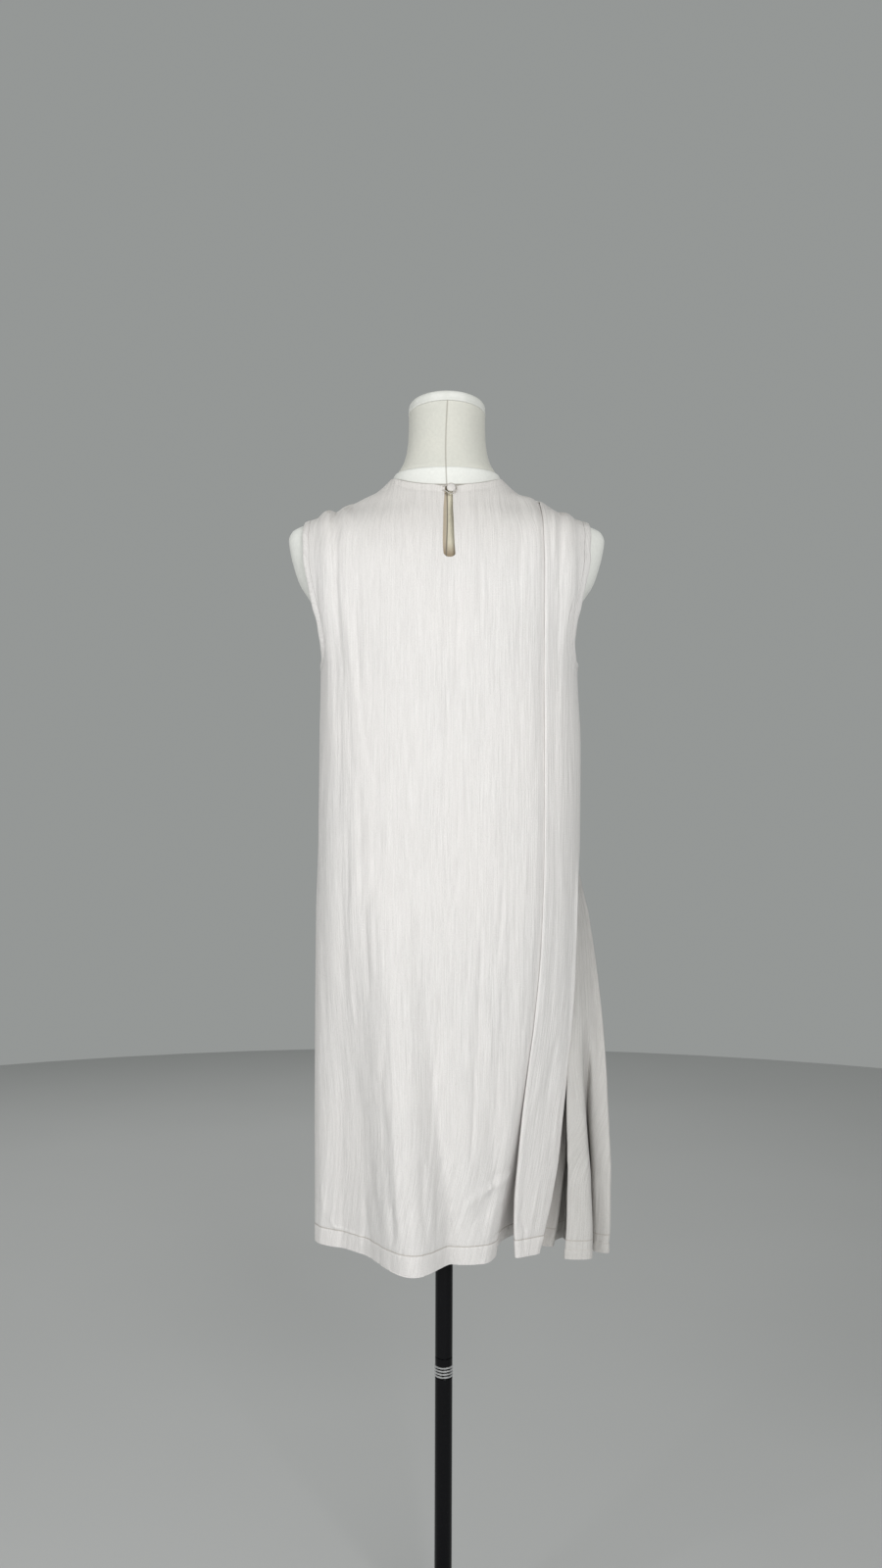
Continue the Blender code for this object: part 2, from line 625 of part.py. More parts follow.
def cloth_wall(name, middle, normal, shader, dropped=()):
    """A closed wall on both sides of a grid of middle points, with a rim round every opening."""
    rows, columns = middle.shape[:2]
    outer = (middle + normal * 0.5 * WALL).reshape(-1, 3)
    inner = (middle - normal * 0.5 * WALL).reshape(-1, 3)
    count = rows * columns
    quads = []
    for i in range(rows - 1):
        for j in range(columns - 1):
            if (i, j) not in dropped:
                a = i * columns + j
                quads.append((a, a + 1, a + columns + 1, a + columns))
    edges = {}
    for quad in quads:
        for a, b in zip(quad, quad[1:] + quad[:1]):
            edges[(a, b)] = edges.get((a, b), 0) + 1
    faces = list(quads)
    faces += [tuple(count + v for v in reversed(quad)) for quad in quads]
    faces += [(b, a, count + a, count + b) for a, b in edges if (b, a) not in edges]
    used = sorted({v for face in faces for v in face})
    place_of = {v: i for i, v in enumerate(used)}
    points = np.concatenate([outer, inner])[used]
    faces = [tuple(place_of[v] for v in face) for face in faces]
    return add_object(name, mesh_from(name, points, faces), shader)


def ring_loft(name, rings, shader, closed_loop=False):
    """A solid through rings of equal length, capped at both ends unless the rings close up."""
    count = len(rings[0])
    points = [p for ring in rings for p in ring]
    faces = []
    spans = len(rings) if closed_loop else len(rings) - 1
    for i in range(spans):
        near, far = i * count, ((i + 1) % len(rings)) * count
        for j in range(count):
            k = (j + 1) % count
            faces.append((near + j, near + k, far + k, far + j))
    if not closed_loop:
        faces.append(tuple(reversed(range(count))))
        faces.append(tuple(range((len(rings) - 1) * count, len(rings) * count)))
    return add_object(name, mesh_from(name, points, faces), shader)


def turned(name, profile, shader, segments=24, centre=(0.0, 0.0), tilt=0.0, pivot_z=0.0):
    """A turned solid from (radius, z) points, bottom to top, that starts and ends off the axis."""
    rings = []
    for radius, z in profile:
        ring = []
        for k in range(segments):
            angle = 2.0 * math.pi * k / segments
            x, y = radius * math.cos(angle), radius * math.sin(angle)
            up = z - pivot_z
            ring.append(
                (
                    centre[0] + x,
                    centre[1] + y * math.cos(tilt) + up * math.sin(tilt),
                    pivot_z - y * math.sin(tilt) + up * math.cos(tilt),
                )
            )
        rings.append(ring)
    return ring_loft(name, rings, shader)


def armhole_edge(points, end):
    """The panel's armhole points and normals, from underarm to shoulder tip."""
    rows, normals, start = points
    column = 0 if end < 0 else -1
    return rows[start:, column], normals[start:, column]


def make_armhole_binding(name, back, front, end, shader):
    """A narrow strip sewn round the armhole, from the panels' own edge points moved out."""
    back_edge, back_normal = armhole_edge(back, end)
    front_edge, front_normal = armhole_edge(front, end)
    loop = np.concatenate([back_edge[::-1], front_edge[1:-1]])
    normal = np.concatenate([back_normal[::-1], front_normal[1:-1]])
    loop[:, 1] = np.where(np.abs(loop[:, 1]) < 0.0008, 0.0, loop[:, 1])
    along = np.roll(loop, -1, axis=0) - np.roll(loop, 1, axis=0)
    along /= np.linalg.norm(along, axis=1, keepdims=True)
    normal -= along * (normal * along).sum(axis=1, keepdims=True)
    normal /= np.linalg.norm(normal, axis=1, keepdims=True)
    inward = np.cross(along, normal)
    centre = loop.mean(axis=0)
    facing = np.sign(((centre - loop) * inward).sum(axis=1, keepdims=True))
    inward *= facing
    rings = []
    half = 0.5 * BINDING_WALL
    near, far = BINDING_GAP, BINDING_GAP + BINDING_WIDTH
    for point, out, in_ in zip(loop, normal, inward):
        rings.append(
            [
                point + in_ * near + out * half,
                point + in_ * (near + 0.3 * BINDING_WIDTH) + out * (half + 0.0003),
                point + in_ * (far - 0.0006) + out * half,
                point + in_ * far,
                point + in_ * (far - 0.0006) - out * half,
                point + in_ * near - out * half,
            ]
        )
    return ring_loft(name, rings, shader, closed_loop=True)


def back_slope(x, z):
    """How far the back leans in towards the neck per metre up."""
    step = 0.001
    return (section_y(x, z + step, BACK) - section_y(x, z - step, BACK)) / (2.0 * step)


def back_surface_y(x, z):
    """Outer face of the back panel at x and z, carried across the slit."""
    stretch = math.sqrt(1.0 + back_slope(x, z) ** 2)
    return section_y(x, z, BACK) - (fold_height(x, z, BACK_FOLDS) + 0.5 * WALL) * stretch


def make_button(shader):
    """A small covered dome whose shank stands on the cloth at the slit's right-hand edge."""
    lean = math.atan(back_slope(SHANK_X, BUTTON_Z))
    seat_y = back_surface_y(SHANK_X, BUTTON_Z) - SEAM / math.cos(lean)
    profile = (
        (SHANK_X, SHANK_RADIUS * 0.7, 0.0),
        (SHANK_X, SHANK_RADIUS, 0.0002),
        (SHANK_X, SHANK_RADIUS, 0.0010),
        (BUTTON_X, BUTTON_RADIUS * 0.84, 0.0015),
        (BUTTON_X, BUTTON_RADIUS, 0.0023),
        (BUTTON_X, BUTTON_RADIUS * 0.93, 0.0034),
        (BUTTON_X, BUTTON_RADIUS * 0.70, 0.0043),
        (BUTTON_X, BUTTON_RADIUS * 0.36, 0.0048),
        (BUTTON_X, BUTTON_RADIUS * 0.08, 0.0049),
    )
    rings = []
    for centre_x, radius, out in profile:
        ring = []
        for k in range(20):
            angle = 2.0 * math.pi * k / 20
            up = radius * math.sin(angle)
            ring.append(
                (
                    centre_x + radius * math.cos(angle),
                    seat_y - out * math.cos(lean) + up * math.sin(lean),
                    BUTTON_Z + up * math.cos(lean) + out * math.sin(lean),
                )
            )
        rings.append(ring)
    return ring_loft("button", rings, shader)


def make_loop(shader):
    """The cord loop round the button, its two ends on the slit's left-hand edge."""
    end_x, end_up = LOOP_END
    path = [(end_x, end_up)]
    for step in range(13):
        angle = math.radians(140 - 280 * step / 12)
        path.append((BUTTON_X + LOOP_RADIUS * math.cos(angle), LOOP_RADIUS * math.sin(angle)))
    path.append((end_x, -end_up))
    rings = []
    for i, (x, up) in enumerate(path):
        ahead = path[min(i + 1, len(path) - 1)]
        behind = path[max(i - 1, 0)]
        along_x, along_up = ahead[0] - behind[0], ahead[1] - behind[1]
        length = math.hypot(along_x, along_up)
        ring = []
        for k in range(8):
            angle = 2.0 * math.pi * k / 8
            off, out = LOOP_CORD * math.cos(angle), LOOP_CORD * math.sin(angle)
            cord_x = x + off * along_up / length
            cord_z = BUTTON_Z + up - off * along_x / length
            stretch = math.sqrt(1.0 + back_slope(x, BUTTON_Z + up) ** 2)
            seat_y = back_surface_y(cord_x, cord_z)
            ring.append((cord_x, seat_y - (LOOP_LIFT + out) * stretch, cord_z))
        rings.append(ring)
    return ring_loft("button_loop", rings, shader)


def make_form(shader, cap_shader):
    """The torso with its shoulder caps and neck, and the band that caps the neck."""
    segments = 36
    rings = []
    for row in FORM_SECTIONS:
        section = dict(zip(FORM_COLUMNS, row))
        lean = NECK_LEAN * ease((section["z"] - NECK_LEAN_FROM_Z) / 0.06)
        ring = []
        for k in range(segments):
            angle = 2.0 * math.pi * k / segments
            c, s = math.cos(angle), math.sin(angle)
            exponent = 2.0 / section["power"]
            x = section["half"] * math.copysign(abs(c) ** exponent, c)
            depth = section["front"] if s > 0 else section["back"]
            y = depth * math.copysign(abs(s) ** exponent, s) + lean
            ring.append((x, y, section["z"]))
        rings.append(ring)
    top = []
    for x, y, z in rings[-1]:
        drop = (y - NECK_LEAN) * math.tan(CAP_TILT) + (0.5 * CAP_BAND + SEAM) / math.cos(CAP_TILT)
        top.append((x, y, CAP_Z - drop))
    rings.append(top)
    ring_loft("form_body", rings, shader)
    half = 0.5 * CAP_BAND
    turned(
        "form_neck_cap",
        [
            (CAP_RADIUS - 0.0010, CAP_Z - half),
            (CAP_RADIUS, CAP_Z - half + 0.0010),
            (CAP_RADIUS, CAP_Z + half - 0.0040),
            (CAP_RADIUS - 0.0014, CAP_Z + half - 0.0012),
            (CAP_RADIUS - 0.0050, CAP_Z + half),
            (CAP_RADIUS * 0.3, CAP_Z + half + 0.0010),
        ],
        cap_shader,
        segments=36,
        centre=(0.0, NECK_LEAN),
        tilt=CAP_TILT,
        pivot_z=CAP_Z,
    )


def make_stand(black, chrome):
    """Socket under the form, two pole lengths, the ringed coupling, hub and base plate."""
    turned(
        "form_socket",
        [
            (POLE_RADIUS + 0.004, FORM_BOTTOM_Z - SOCKET_HEIGHT),
            (POLE_RADIUS + 0.006, FORM_BOTTOM_Z - SOCKET_HEIGHT + 0.002),
            (POLE_RADIUS + 0.006, FORM_BOTTOM_Z - 0.006),
            (SOCKET_RADIUS, FORM_BOTTOM_Z - 0.004),
            (SOCKET_RADIUS, FORM_BOTTOM_Z - SEAM),
        ],
        black,
    )
    ring_low_z = RING_TOP_Z - RINGS * RING_PITCH
    turned(
        "pole_upper",
        [
            (POLE_RADIUS - 0.0006, COUPLING_TOP_Z + SEAM),
            (POLE_RADIUS, COUPLING_TOP_Z + SEAM + 0.0006),
            (POLE_RADIUS, FORM_BOTTOM_Z - SOCKET_HEIGHT - SEAM),
        ],
        black,
    )
    turned(
        "pole_coupling",
        [
            (CORE_RADIUS, ring_low_z),
            (CORE_RADIUS, RING_TOP_Z + SEAM),
            (POLE_RADIUS, RING_TOP_Z + SEAM),
            (POLE_RADIUS, COUPLING_TOP_Z - 0.0006),
            (POLE_RADIUS - 0.0006, COUPLING_TOP_Z),
        ],
        black,
    )
    for index in range(RINGS):
        make_ring(f"pole_ring_{index + 1}", RING_TOP_Z - index * RING_PITCH, chrome)
    turned(
        "pole_lower",
        [
            (POLE_RADIUS, BASE_HEIGHT + HUB_HEIGHT + SEAM),
            (POLE_RADIUS, ring_low_z - SEAM - 0.0006),
            (POLE_RADIUS - 0.0006, ring_low_z - SEAM),
        ],
        black,
    )
    turned(
        "base_hub",
        [
            (HUB_RADIUS, BASE_HEIGHT + SEAM),
            (HUB_RADIUS, BASE_HEIGHT + 0.004),
            (HUB_RADIUS * 0.93, BASE_HEIGHT + 0.006),
            (POLE_RADIUS + 0.005, BASE_HEIGHT + 0.012),
            (POLE_RADIUS + 0.004, BASE_HEIGHT + HUB_HEIGHT),
        ],
        black,
    )
    turned(
        "base_plate",
        [
            (BASE_RADIUS - 0.001, 0.0),
            (BASE_RADIUS, 0.001),
            (BASE_RADIUS, BASE_HEIGHT - 0.003),
            (BASE_RADIUS - 0.003, BASE_HEIGHT),
        ],
        black,
        segments=48,
    )


def make_ring(name, high, chrome):
    """One polished ring round the coupling's core."""
    low = high - RING_HEIGHT
    bore = CORE_RADIUS + SEAM
    outline = [
        (bore, low),
        (RING_RADIUS - 0.0006, low),
        (RING_RADIUS, low + 0.0006),
        (RING_RADIUS, high - 0.0006),
        (RING_RADIUS - 0.0006, high),
        (bore, high),
    ]
    rings = []
    for k in range(24):
        angle = 2.0 * math.pi * k / 24
        rings.append([(r * math.cos(angle), r * math.sin(angle), z) for r, z in outline])
    return ring_loft(name, rings, chrome, closed_loop=True)


def build():
    for old in list(bpy.data.objects):
        bpy.data.objects.remove(old)
    cloth = material("dress_cloth", (0.80, 0.775, 0.74), 0.85)
    jersey = material("form_jersey", (0.62, 0.63, 0.60), 0.9)
    cap = material("form_cap", (0.82, 0.83, 0.80), 0.8)
    black = material("pole_black", (0.010, 0.010, 0.011), 0.2)
    chrome = material("ring_chrome", (0.75, 0.75, 0.76), 0.15, 1.0)

    lower = (0.512, 0.532, 0.556, 0.585, 0.62, 0.66, 0.705, 0.75, 0.80, 0.86, 0.92, 0.96,
             0.985, 1.02, 1.09, 1.18)
    slit_w = 2.0 / math.pi * math.asin((SLIT_BOTTOM_Z - UNDERARM_Z) / (NECK_BACK_Z - UNDERARM_Z))
    upper = (0.0, 0.005, 0.014, 0.04, 0.09, 0.16, 0.24, 0.32, slit_w, 0.52, 0.64, 0.75, 0.85, 0.93, 1.0)
    rows = (lower, upper)

    main = ((7, "side"), (4, "after"), (2, "even"), (4, "before"), (4, "even"))
    back = part_seams(back_panel_points(rows, main, 1, 3, 6), BACK, len(lower))
    front_main = ((7, "side"), (12, "neck"), (6, "even"))
    front = part_seams(front_panel_points(rows, front_main, 6), FRONT, len(lower))

    slit_left = main[0][0] + main[1][0]
    slit_row = len(lower) + upper.index(slit_w)
    back[slit_row, slit_left + 1, 2] -= SLIT_ROUND
    dropped = {
        (i, j)
        for i in range(slit_row, len(back) - 1)
        for j in range(slit_left, slit_left + main[2][0])
    }
    back_normal = panel_normals(back, BACK, len(lower))
    front_normal = panel_normals(front, FRONT, len(lower))
    cloth_wall("back_panel", back, back_normal, cloth, dropped)
    cloth_wall("front_panel", front, front_normal, cloth)

    open_rows = [i for i, z in enumerate(lower) if z <= INSERT_TOP_Z]
    rows_z = np.array([lower[i] for i in open_rows])
    gap = np.array([0.5 * WALL + SEAM + 0.0006, 0.0])
    back_edge = back[open_rows, -1, :2] + gap + np.array([0.0, 0.0006])
    front_edge = front[open_rows, -1, :2] + gap - np.array([0.0, 0.0006])
    insert = insert_points(rows_z, back_edge, front_edge, 1)
    cloth_wall("side_insert", insert, mitred(insert), cloth)

    start = len(lower)
    back_data = (back, back_normal, start)
    front_data = (front, front_normal, start)
    make_armhole_binding("armhole_binding_left", back_data, front_data, -1, cloth)
    make_armhole_binding("armhole_binding_right", back_data, front_data, 1, cloth)

    make_button(cloth)
    make_loop(cloth)
    make_form(jersey, cap)
    make_stand(black, chrome)


build()
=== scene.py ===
"""The pleated shift dress on its dress form and pole stand, finished for the studio.

Metres, +Z up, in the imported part's own frame. The back of the dress faces -Y. The cloth is worked
out from the same sections and folds as the part's, then creased, hemmed and stitched.
"""

import math

import bpy
import numpy as np
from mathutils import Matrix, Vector


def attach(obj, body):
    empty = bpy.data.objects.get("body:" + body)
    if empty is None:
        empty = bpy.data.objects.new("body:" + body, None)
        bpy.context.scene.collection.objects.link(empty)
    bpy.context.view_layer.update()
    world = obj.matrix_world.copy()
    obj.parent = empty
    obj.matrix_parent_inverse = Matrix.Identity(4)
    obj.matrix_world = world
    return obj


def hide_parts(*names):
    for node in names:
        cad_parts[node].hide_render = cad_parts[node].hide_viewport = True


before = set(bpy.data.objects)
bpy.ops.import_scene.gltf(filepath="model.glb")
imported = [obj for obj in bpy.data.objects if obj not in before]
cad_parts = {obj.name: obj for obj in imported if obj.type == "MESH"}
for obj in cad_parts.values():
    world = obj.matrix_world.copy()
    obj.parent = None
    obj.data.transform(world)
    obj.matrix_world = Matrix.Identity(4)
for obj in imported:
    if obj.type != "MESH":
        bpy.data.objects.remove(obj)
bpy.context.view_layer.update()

MM = 0.001

# Cloth
WALL = 0.0013
SEAM = 0.00033
SEAM_SPARE = 0.0001
SEAM_REACH = 0.0015
HEM_Z = 0.512
UNDERARM_Z = 1.231
SHOULDER_TIP_X = 0.168
SHOULDER_TIP_Z = 1.4212
NECK_SIDE_X = 0.0705
NECK_SIDE_Z = 1.4712
NECK_BACK_Z = 1.4545
NECK_FRONT_Z = 1.405
BINDING_WIDTH = 0.009
BINDING_WALL = 0.0016
BINDING_GAP = 0.0006

# Keyhole slit at the centre back
SLIT_BOTTOM_Z = 1.366
SLIT_TOP_X = (-0.0024, 0.0070)
SLIT_LOW_X = (-0.0080, 0.0084)
SLIT_ROUND = 0.0035
SLIT_REACH = 0.05
SLIT_FADE = 0.9

# Button and loop
BUTTON_X = 0.0052
BUTTON_Z = 1.4505
BUTTON_RADIUS = 0.0055
LOOP_RADIUS = 0.0066
LOOP_CORD = 0.0007
LOOP_LIFT = 0.0010
LOOP_END = (-0.0052, 0.0020)

# Opening for the side insert
OPENING_TOP_Z = 1.02
OPENING_EASE = 0.085
INSERT_TOP_Z = 0.985
TURN_BULGE = 0.0042
TURN_DROP = 0.0035

# Dress form's neck cap, tilted down towards the front
CAP_Z = 1.5605
CAP_RADIUS = 0.0485
CAP_BAND = 0.014
CAP_TILT = math.radians(10)

# Finished cloth
SHELL = 0.0009
HEM_SHELL = 0.0004
HEM_SHELL_OVER = 0.0015
HEM_DEPTH = 0.022
INSERT_HEM_DEPTH = 0.011
SHARP_FROM = math.radians(55)
STEEPEST = 6.0
CREASE_STRENGTH = 1.4
CREASE_END = 0.22
CRUMPLE_STRENGTH = 1.3
INSERT_CRINKLE = 0.6
INSERT_HEM_STRENGTH = 0.7

# Rows and columns of the cloth's points: how many, and whether they close up at the side seam.
ROW_STEP = 0.0065
HEM_ROW_STEP = 0.0015
HEM_ROWS_ABOVE = 0.012
UNDERARM_RISES = (0.0, 0.004, 0.009, 0.016, 0.026, 0.040)
BELOW_SLIT_FROM = 0.06
BELOW_SLIT_ROWS = 22
BESIDE_SLIT_ROWS = 16
NECKLINE_FROM = 0.94
NECKLINE_ROWS = 9
BACK_COLUMNS = ((56, "side"), (40, "even"), (6, "even"), (38, "even"), (16, "even"))
FRONT_COLUMNS = ((56, "side"), (84, "even"), (46, "even"))
PLEAT_STEPS = 4
BAND_COLUMNS = 30
TURN_COLUMNS = 20
INSERT_STEPS = 6
MIDDLE_COLUMNS = 110

# Inside the long pleat the cloth is calmer: by how much, and over which columns.
CALM_SHARE = 0.8
CALM_FROM = 6
CALM_START = 6
CALM_TO = 37
CALM_STOP = 5

# Seeds of the cloth's unevenness.
BACK_SEED = 11
FRONT_SEED = 51
INSERT_SEED = 71
INSERT_HEM_SEED = 77
STRIP_SEEDS = {-1: (31, 41), 1: (37, 43)}

# Crinkles: the lattice behind them, their wander, and each kind's spacing across the cloth, length
# down it, share of the wander and height.
LATTICE = 64
WANDER = 0.009
WANDER_ACROSS = 0.05
WANDER_DOWN = 0.13
CRINKLES = (
    (0.0042, 0.055, 1.0, 0.00019),
    (0.0095, 0.12, 1.5, 0.00044),
    (0.022, 0.20, 2.0, 0.0006),
)

# The stitched hem: how proud it stands, and the stitches' groove and pucker.
HEM_PROUD = 0.00030
HEM_PROUD_OVER = 0.0012
GROOVE_DEPTH = 0.00055
GROOVE_WIDTH = 0.0013
PUCKER_HEIGHT = 0.00045
PUCKER_SPACING = 0.0050
PUCKER_REACH = 0.0075
STITCH_LENGTH = 0.0026
STITCH_PITCH = 0.0034
STITCH_RADIUS = 0.00022
STITCH_SIDES = 6

# Armhole strips: spacing and size of their puckers and waves.
STRIP_PUCKER = 0.0055
STRIP_WAVE = 0.016
STRIP_PUCKER_HEIGHT = 0.00022
STRIP_WAVE_HEIGHT = 0.00035
STRIP_WAVE_REACH = 0.0005

# Button and loop: how finely they are rounded, the gathers under the button's rim, the loop's sweep
# round the button in degrees, and the twist of its cord.
BUTTON_SEGMENTS = 64
BUTTON_GATHERS = 11
BUTTON_GATHER_DEPTH = 0.02
LOOP_STEPS = 48
LOOP_FROM = 140
LOOP_SWEEP = 280
CORD_SEGMENTS = 16
CORD_TWIST = 0.9
CORD_UNEVEN = 0.10

# The faced neckline and slit: a rolled edge, and a line sunk where the facing is held.
NECK_ROLL = (0.0009, 0.0035)
NECK_SUNK = (-0.00065, 0.0022)
NECK_SUNK_AT = 0.0078
SLIT_ROLL = (0.0005, 0.0026)
SLIT_SUNK = (0.0005, 0.0024)
SLIT_SUNK_AT = 0.0070
SLIT_SUNK_BELOW = 0.012
SLIT_ROUND_REACH = 0.010

# Where the cloth is held: near seams, and where it lies close to the form.
SEAM_HOLD = 0.007
SHOULDER_HOLD = 0.008
CLOSE_FROM_Z = 1.35
CLOSE_OVER = 0.05
CLOSE_SHARE = 0.55

# Dress form's cover
FORM_SEAM_DEPTH = 0.0006
FORM_SEAM_WIDTH = 0.0013
FORM_SEAM_SWAY = 0.0012
FORM_SEAM_SWAY_Z = 1.37
FORM_SEAM_TURN = 34.0
FORM_SEAM_OFF = 0.0006
FORM_SEAM_DRIFT = 0.010
FORM_SEAM_DRIFT_Z = 1.50
FORM_SEGMENTS = 160
COLLAR_Z = 1.4797
COLLAR_LIP = 0.0011
COLLAR_ROWS = (-0.0036, -0.0024, -0.0013, -0.0005, 0.0, 0.0005, 0.0010, 0.0018, 0.0030)
CAP_SEGMENTS = 128

# Studio
LENS = 32.0
SENSOR = 36.0
CAMERA_AT = (-0.006, -1.756, 1.09)
CAMERA_TURN = (90.0, -0.2, 0.0)
AIR_COLOUR = (0.300, 0.312, 0.306, 1.0)
FLOOR_RADIUS = 4.0
FLOOR_CORNERS = 96
FLOOR_Z = -0.0005

# Each light's place, aim, width and height, and power.
LIGHTS = {
    "key_light": ((0.75, -2.50, 1.60), (0.0, 0.0, 1.12), (1.0, 1.0), 40.0),
    "left_light": ((-1.75, -1.70, 1.40), (0.0, 0.0, 1.15), (0.9, 0.9), 20.0),
    "far_light": ((-0.8, 3.0, 2.6), (0.0, 0.0, 1.2), (1.6, 1.6), 26.0),
}

# Creases that run down the cloth, in mm: the top, middle and low end of each one's line, its height
# out of the cloth, below zero for a trough, and its half width.
CREASE_COLUMNS = ("top_z", "top_x", "mid_x", "low_z", "low_x", "height", "width")
BACK_CREASES = (
    (1390, -134.5, -131.1, 1202, -122.4, -0.9, 3),
    (1220, -122.5, -117.1, 1090, -111.8, -0.7, 3.5),
    (1338, -125, -116.4, 1161, -105, 0.7, 3),
    (1172, -105, -101.1, 1072, -100.9, 0.5, 2.5),
    (1320, -111.7, -106.7, 1184, -101.5, -0.8, 2.6),
    (1190, -101.5, -95.2, 1090, -83, -0.7, 2.6),
    (1325, -99.7, -98.3, 1243, -97, 0.4, 2),
    (1432, -153.7, -149.7, 1327, -145.7, -0.6, 2.4),
    (1435, -146.3, -141.5, 1339, -137.3, 0.8, 2.6),
    (1430, -164, -160.7, 1358, -154.7, 0.5, 3),
    (1445, -139.3, -134.9, 1394, -134.6, -0.8, 2.2),
    (1441, -130.5, -125, 1374, -126.6, 0.7, 3),
    (1413, -118.4, -117.3, 1364, -116.8, -0.5, 1.8),
    (1430, -112.7, -108.4, 1389, -110.2, 0.4, 2),
    (1440, -97.2, -95.4, 1392, -93.4, 0.3, 2),
    (1444, -84.9, -84.2, 1373, -82.3, 0.3, 2.2),
    (1456, -34.9, -33.5, 1422, -32.1, -0.5, 2.5),
    (1341, -20.9, -21.9, 1270, -21.8, -0.5, 2),
    (1224, -27.4, -26.1, 1154, -27.1, -0.5, 2),
    (1323, -27.8, -27.7, 1253, -28.7, 0.3, 2),
    (1271, -46.3, -47.3, 1201, -47.1, -0.4, 2),
    (1265, -63.8, -62.5, 1201, -63.5, -0.4, 2),
    (1172, -61, -57.3, 1102, -51.3, -0.5, 2.2),
    (1136, -37.5, -37.3, 1044, -37.1, -0.4, 2),
    (1359, 15.3, 16.6, 1259, 15.5, -1.6, 6),
    (1276, 14.3, 12.2, 1154, 6.5, -1.1, 4.5),
    (1218, -0.6, 0.7, 1107, -0.3, -0.9, 2.6),
    (1353, -4.6, -6.7, 1230, -7.7, 0.8, 5),
    (1160, 19.3, 18.2, 1090, 18.3, 0.4, 2),
    (1442, 31, 31.7, 1276, 29.4, 0.7, 4),
    (1371, 39.9, 39.9, 1265, 38.8, -0.6, 2.6),
    (1418, 89.6, 87.2, 1313, 88.2, -0.7, 3),
    (1325, 88.2, 87.1, 1207, 88.4, -0.4, 2.5),
    (1207, 88.4, 89.6, 1078, 91, -0.5, 2.5),
    (1392, 100.6, 100.3, 1337, 97.8, -0.5, 2),
    (1208, 106.4, 108.8, 1113, 110.1, -0.4, 2),
    (1435, 132.1, 131, 1362, 130.5, 0.7, 3),
    (1400, 136.2, 136.6, 1315, 131.8, -0.6, 2.5),
    (1420, 160.1, 155.3, 1282, 153.9, 1, 4),
    (1375, 142.8, 142.7, 1269, 142.3, -0.5, 3),
    (1220, 129.9, 131, 1090, 131.2, -0.4, 3),
    (1049, -119.1, -117.6, 937, -117.5, -0.8, 2.2),
    (936, -123.8, -122.7, 804, -119.3, -0.6, 3.5),
    (1102, -104.6, -101.9, 944, -100.4, -0.9, 3.2),
    (949, -99.2, -94.2, 821, -89.3, -1.1, 3),
    (1072, -91.3, -91.1, 956, -89.6, 0.6, 2.2),
    (962, -90.8, -88.1, 851, -85.6, 0.7, 2.2),
    (1043, -76.9, -76.8, 950, -75.3, -0.7, 2),
    (939, -83.5, -82.2, 881, -80.9, -0.5, 2),
    (1032, -82.8, -82.7, 985, -81.4, 0.4, 1.8),
    (974, -68.4, -66.8, 859, -63.1, 0.5, 2.2),
    (957, -64.7, -60.9, 847, -56, -0.5, 2.2),
    (980, -49.7, -49.5, 899, -47, -0.5, 2),
    (968, -45, -43.7, 905, -43.6, 0.4, 2),
    (901, -116.3, -112.9, 782, -106.9, 0.7, 2.5),
    (1119, 12.5, 13.8, 1009, 15.1, -0.7, 2.2),
    (1015, 16.3, 14.1, 945, 9.6, -0.9, 2.4),
    (957, 6, 3.9, 858, 5.3, -0.8, 2.4),
    (939, 13.1, 13.2, 887, 14.4, -0.5, 2),
    (1113, 18.3, 18.5, 997, 19.8, 0.5, 2.4),
    (1032, 1.2, 1.2, 997, 1.3, 0.6, 2),
    (864, -8.7, -9.7, 787, -8.4, -0.7, 2),
    (928, 41, 42.3, 846, 40.2, -1, 2.6),
    (857, 40.2, 40.4, 757, 38.4, -1.4, 2.8),
    (769, 35.9, 34, 621, 30.8, -1.3, 3),
    (857, 53, 53.4, 739, 51.4, 0.6, 4),
    (979, 67.7, 65.6, 869, 60, -0.8, 2.4),
    (956, 71.3, 71.4, 915, 69.1, 0.6, 2.2),
    (857, 68.4, 67.5, 768, 65.5, -0.9, 3),
    (774, 64.3, 62.2, 678, 62.6, -0.8, 2.6),
    (921, 77.4, 75.3, 844, 72, -0.6, 2.2),
    (914, 103.7, 103.9, 867, 100.5, 0.4, 2.5),
    (843, 94.7, 95, 784, 91.7, -0.5, 2),
    (834, 7.7, 6.6, 787, 5.5, -0.4, 2),
    (793, -9.6, -11.8, 723, -15.2, -0.8, 2.8),
    (728, -15.2, -17.4, 631, -20.7, -0.8, 3),
    (655, -24.2, -25.1, 539, -19.1, -1, 3.2),
    (628, -9.1, -8.9, 547, -8.8, -0.8, 2.2),
    (636, -16.1, -15.9, 555, -14.6, 0.6, 2.4),
    (705, -1.1, -3.3, 627, -6.7, 0.7, 2.4),
    (705, 5.9, 7.1, 663, 8.4, -0.4, 1.8),
    (812, -71.2, -72.2, 729, -73.4, -0.9, 3.2),
    (751, -80.7, -74.6, 648, -69.6, -1.3, 5),
    (659, -70.9, -67.2, 555, -63.5, -1.3, 4.5),
    (801, -62.9, -62.7, 720, -61.4, 0.8, 2.6),
    (731, -61.4, -57.6, 540, -52.7, 1.4, 3.2),
    (830, -105.5, -102, 699, -97.1, 0.7, 3),
    (854, -111.6, -104.3, 747, -98.2, -0.5, 2.5),
    (681, -122.5, -121.3, 632, -117.6, 0.4, 2),
    (640, -90.9, -85.9, 548, -77.1, -0.7, 3),
    (655, -83.3, -80.8, 585, -77.1, 0.4, 2),
    (611, -49.3, -48.1, 547, -48, -0.7, 2),
    (660, 61.5, 59.2, 630, 59.3, -0.6, 2.4),
    (784, 89.3, 88.6, 664, 84.3, -0.5, 2.5),
    (785, 136.2, 129.2, 696, 120.9, -0.6, 3.5),
)
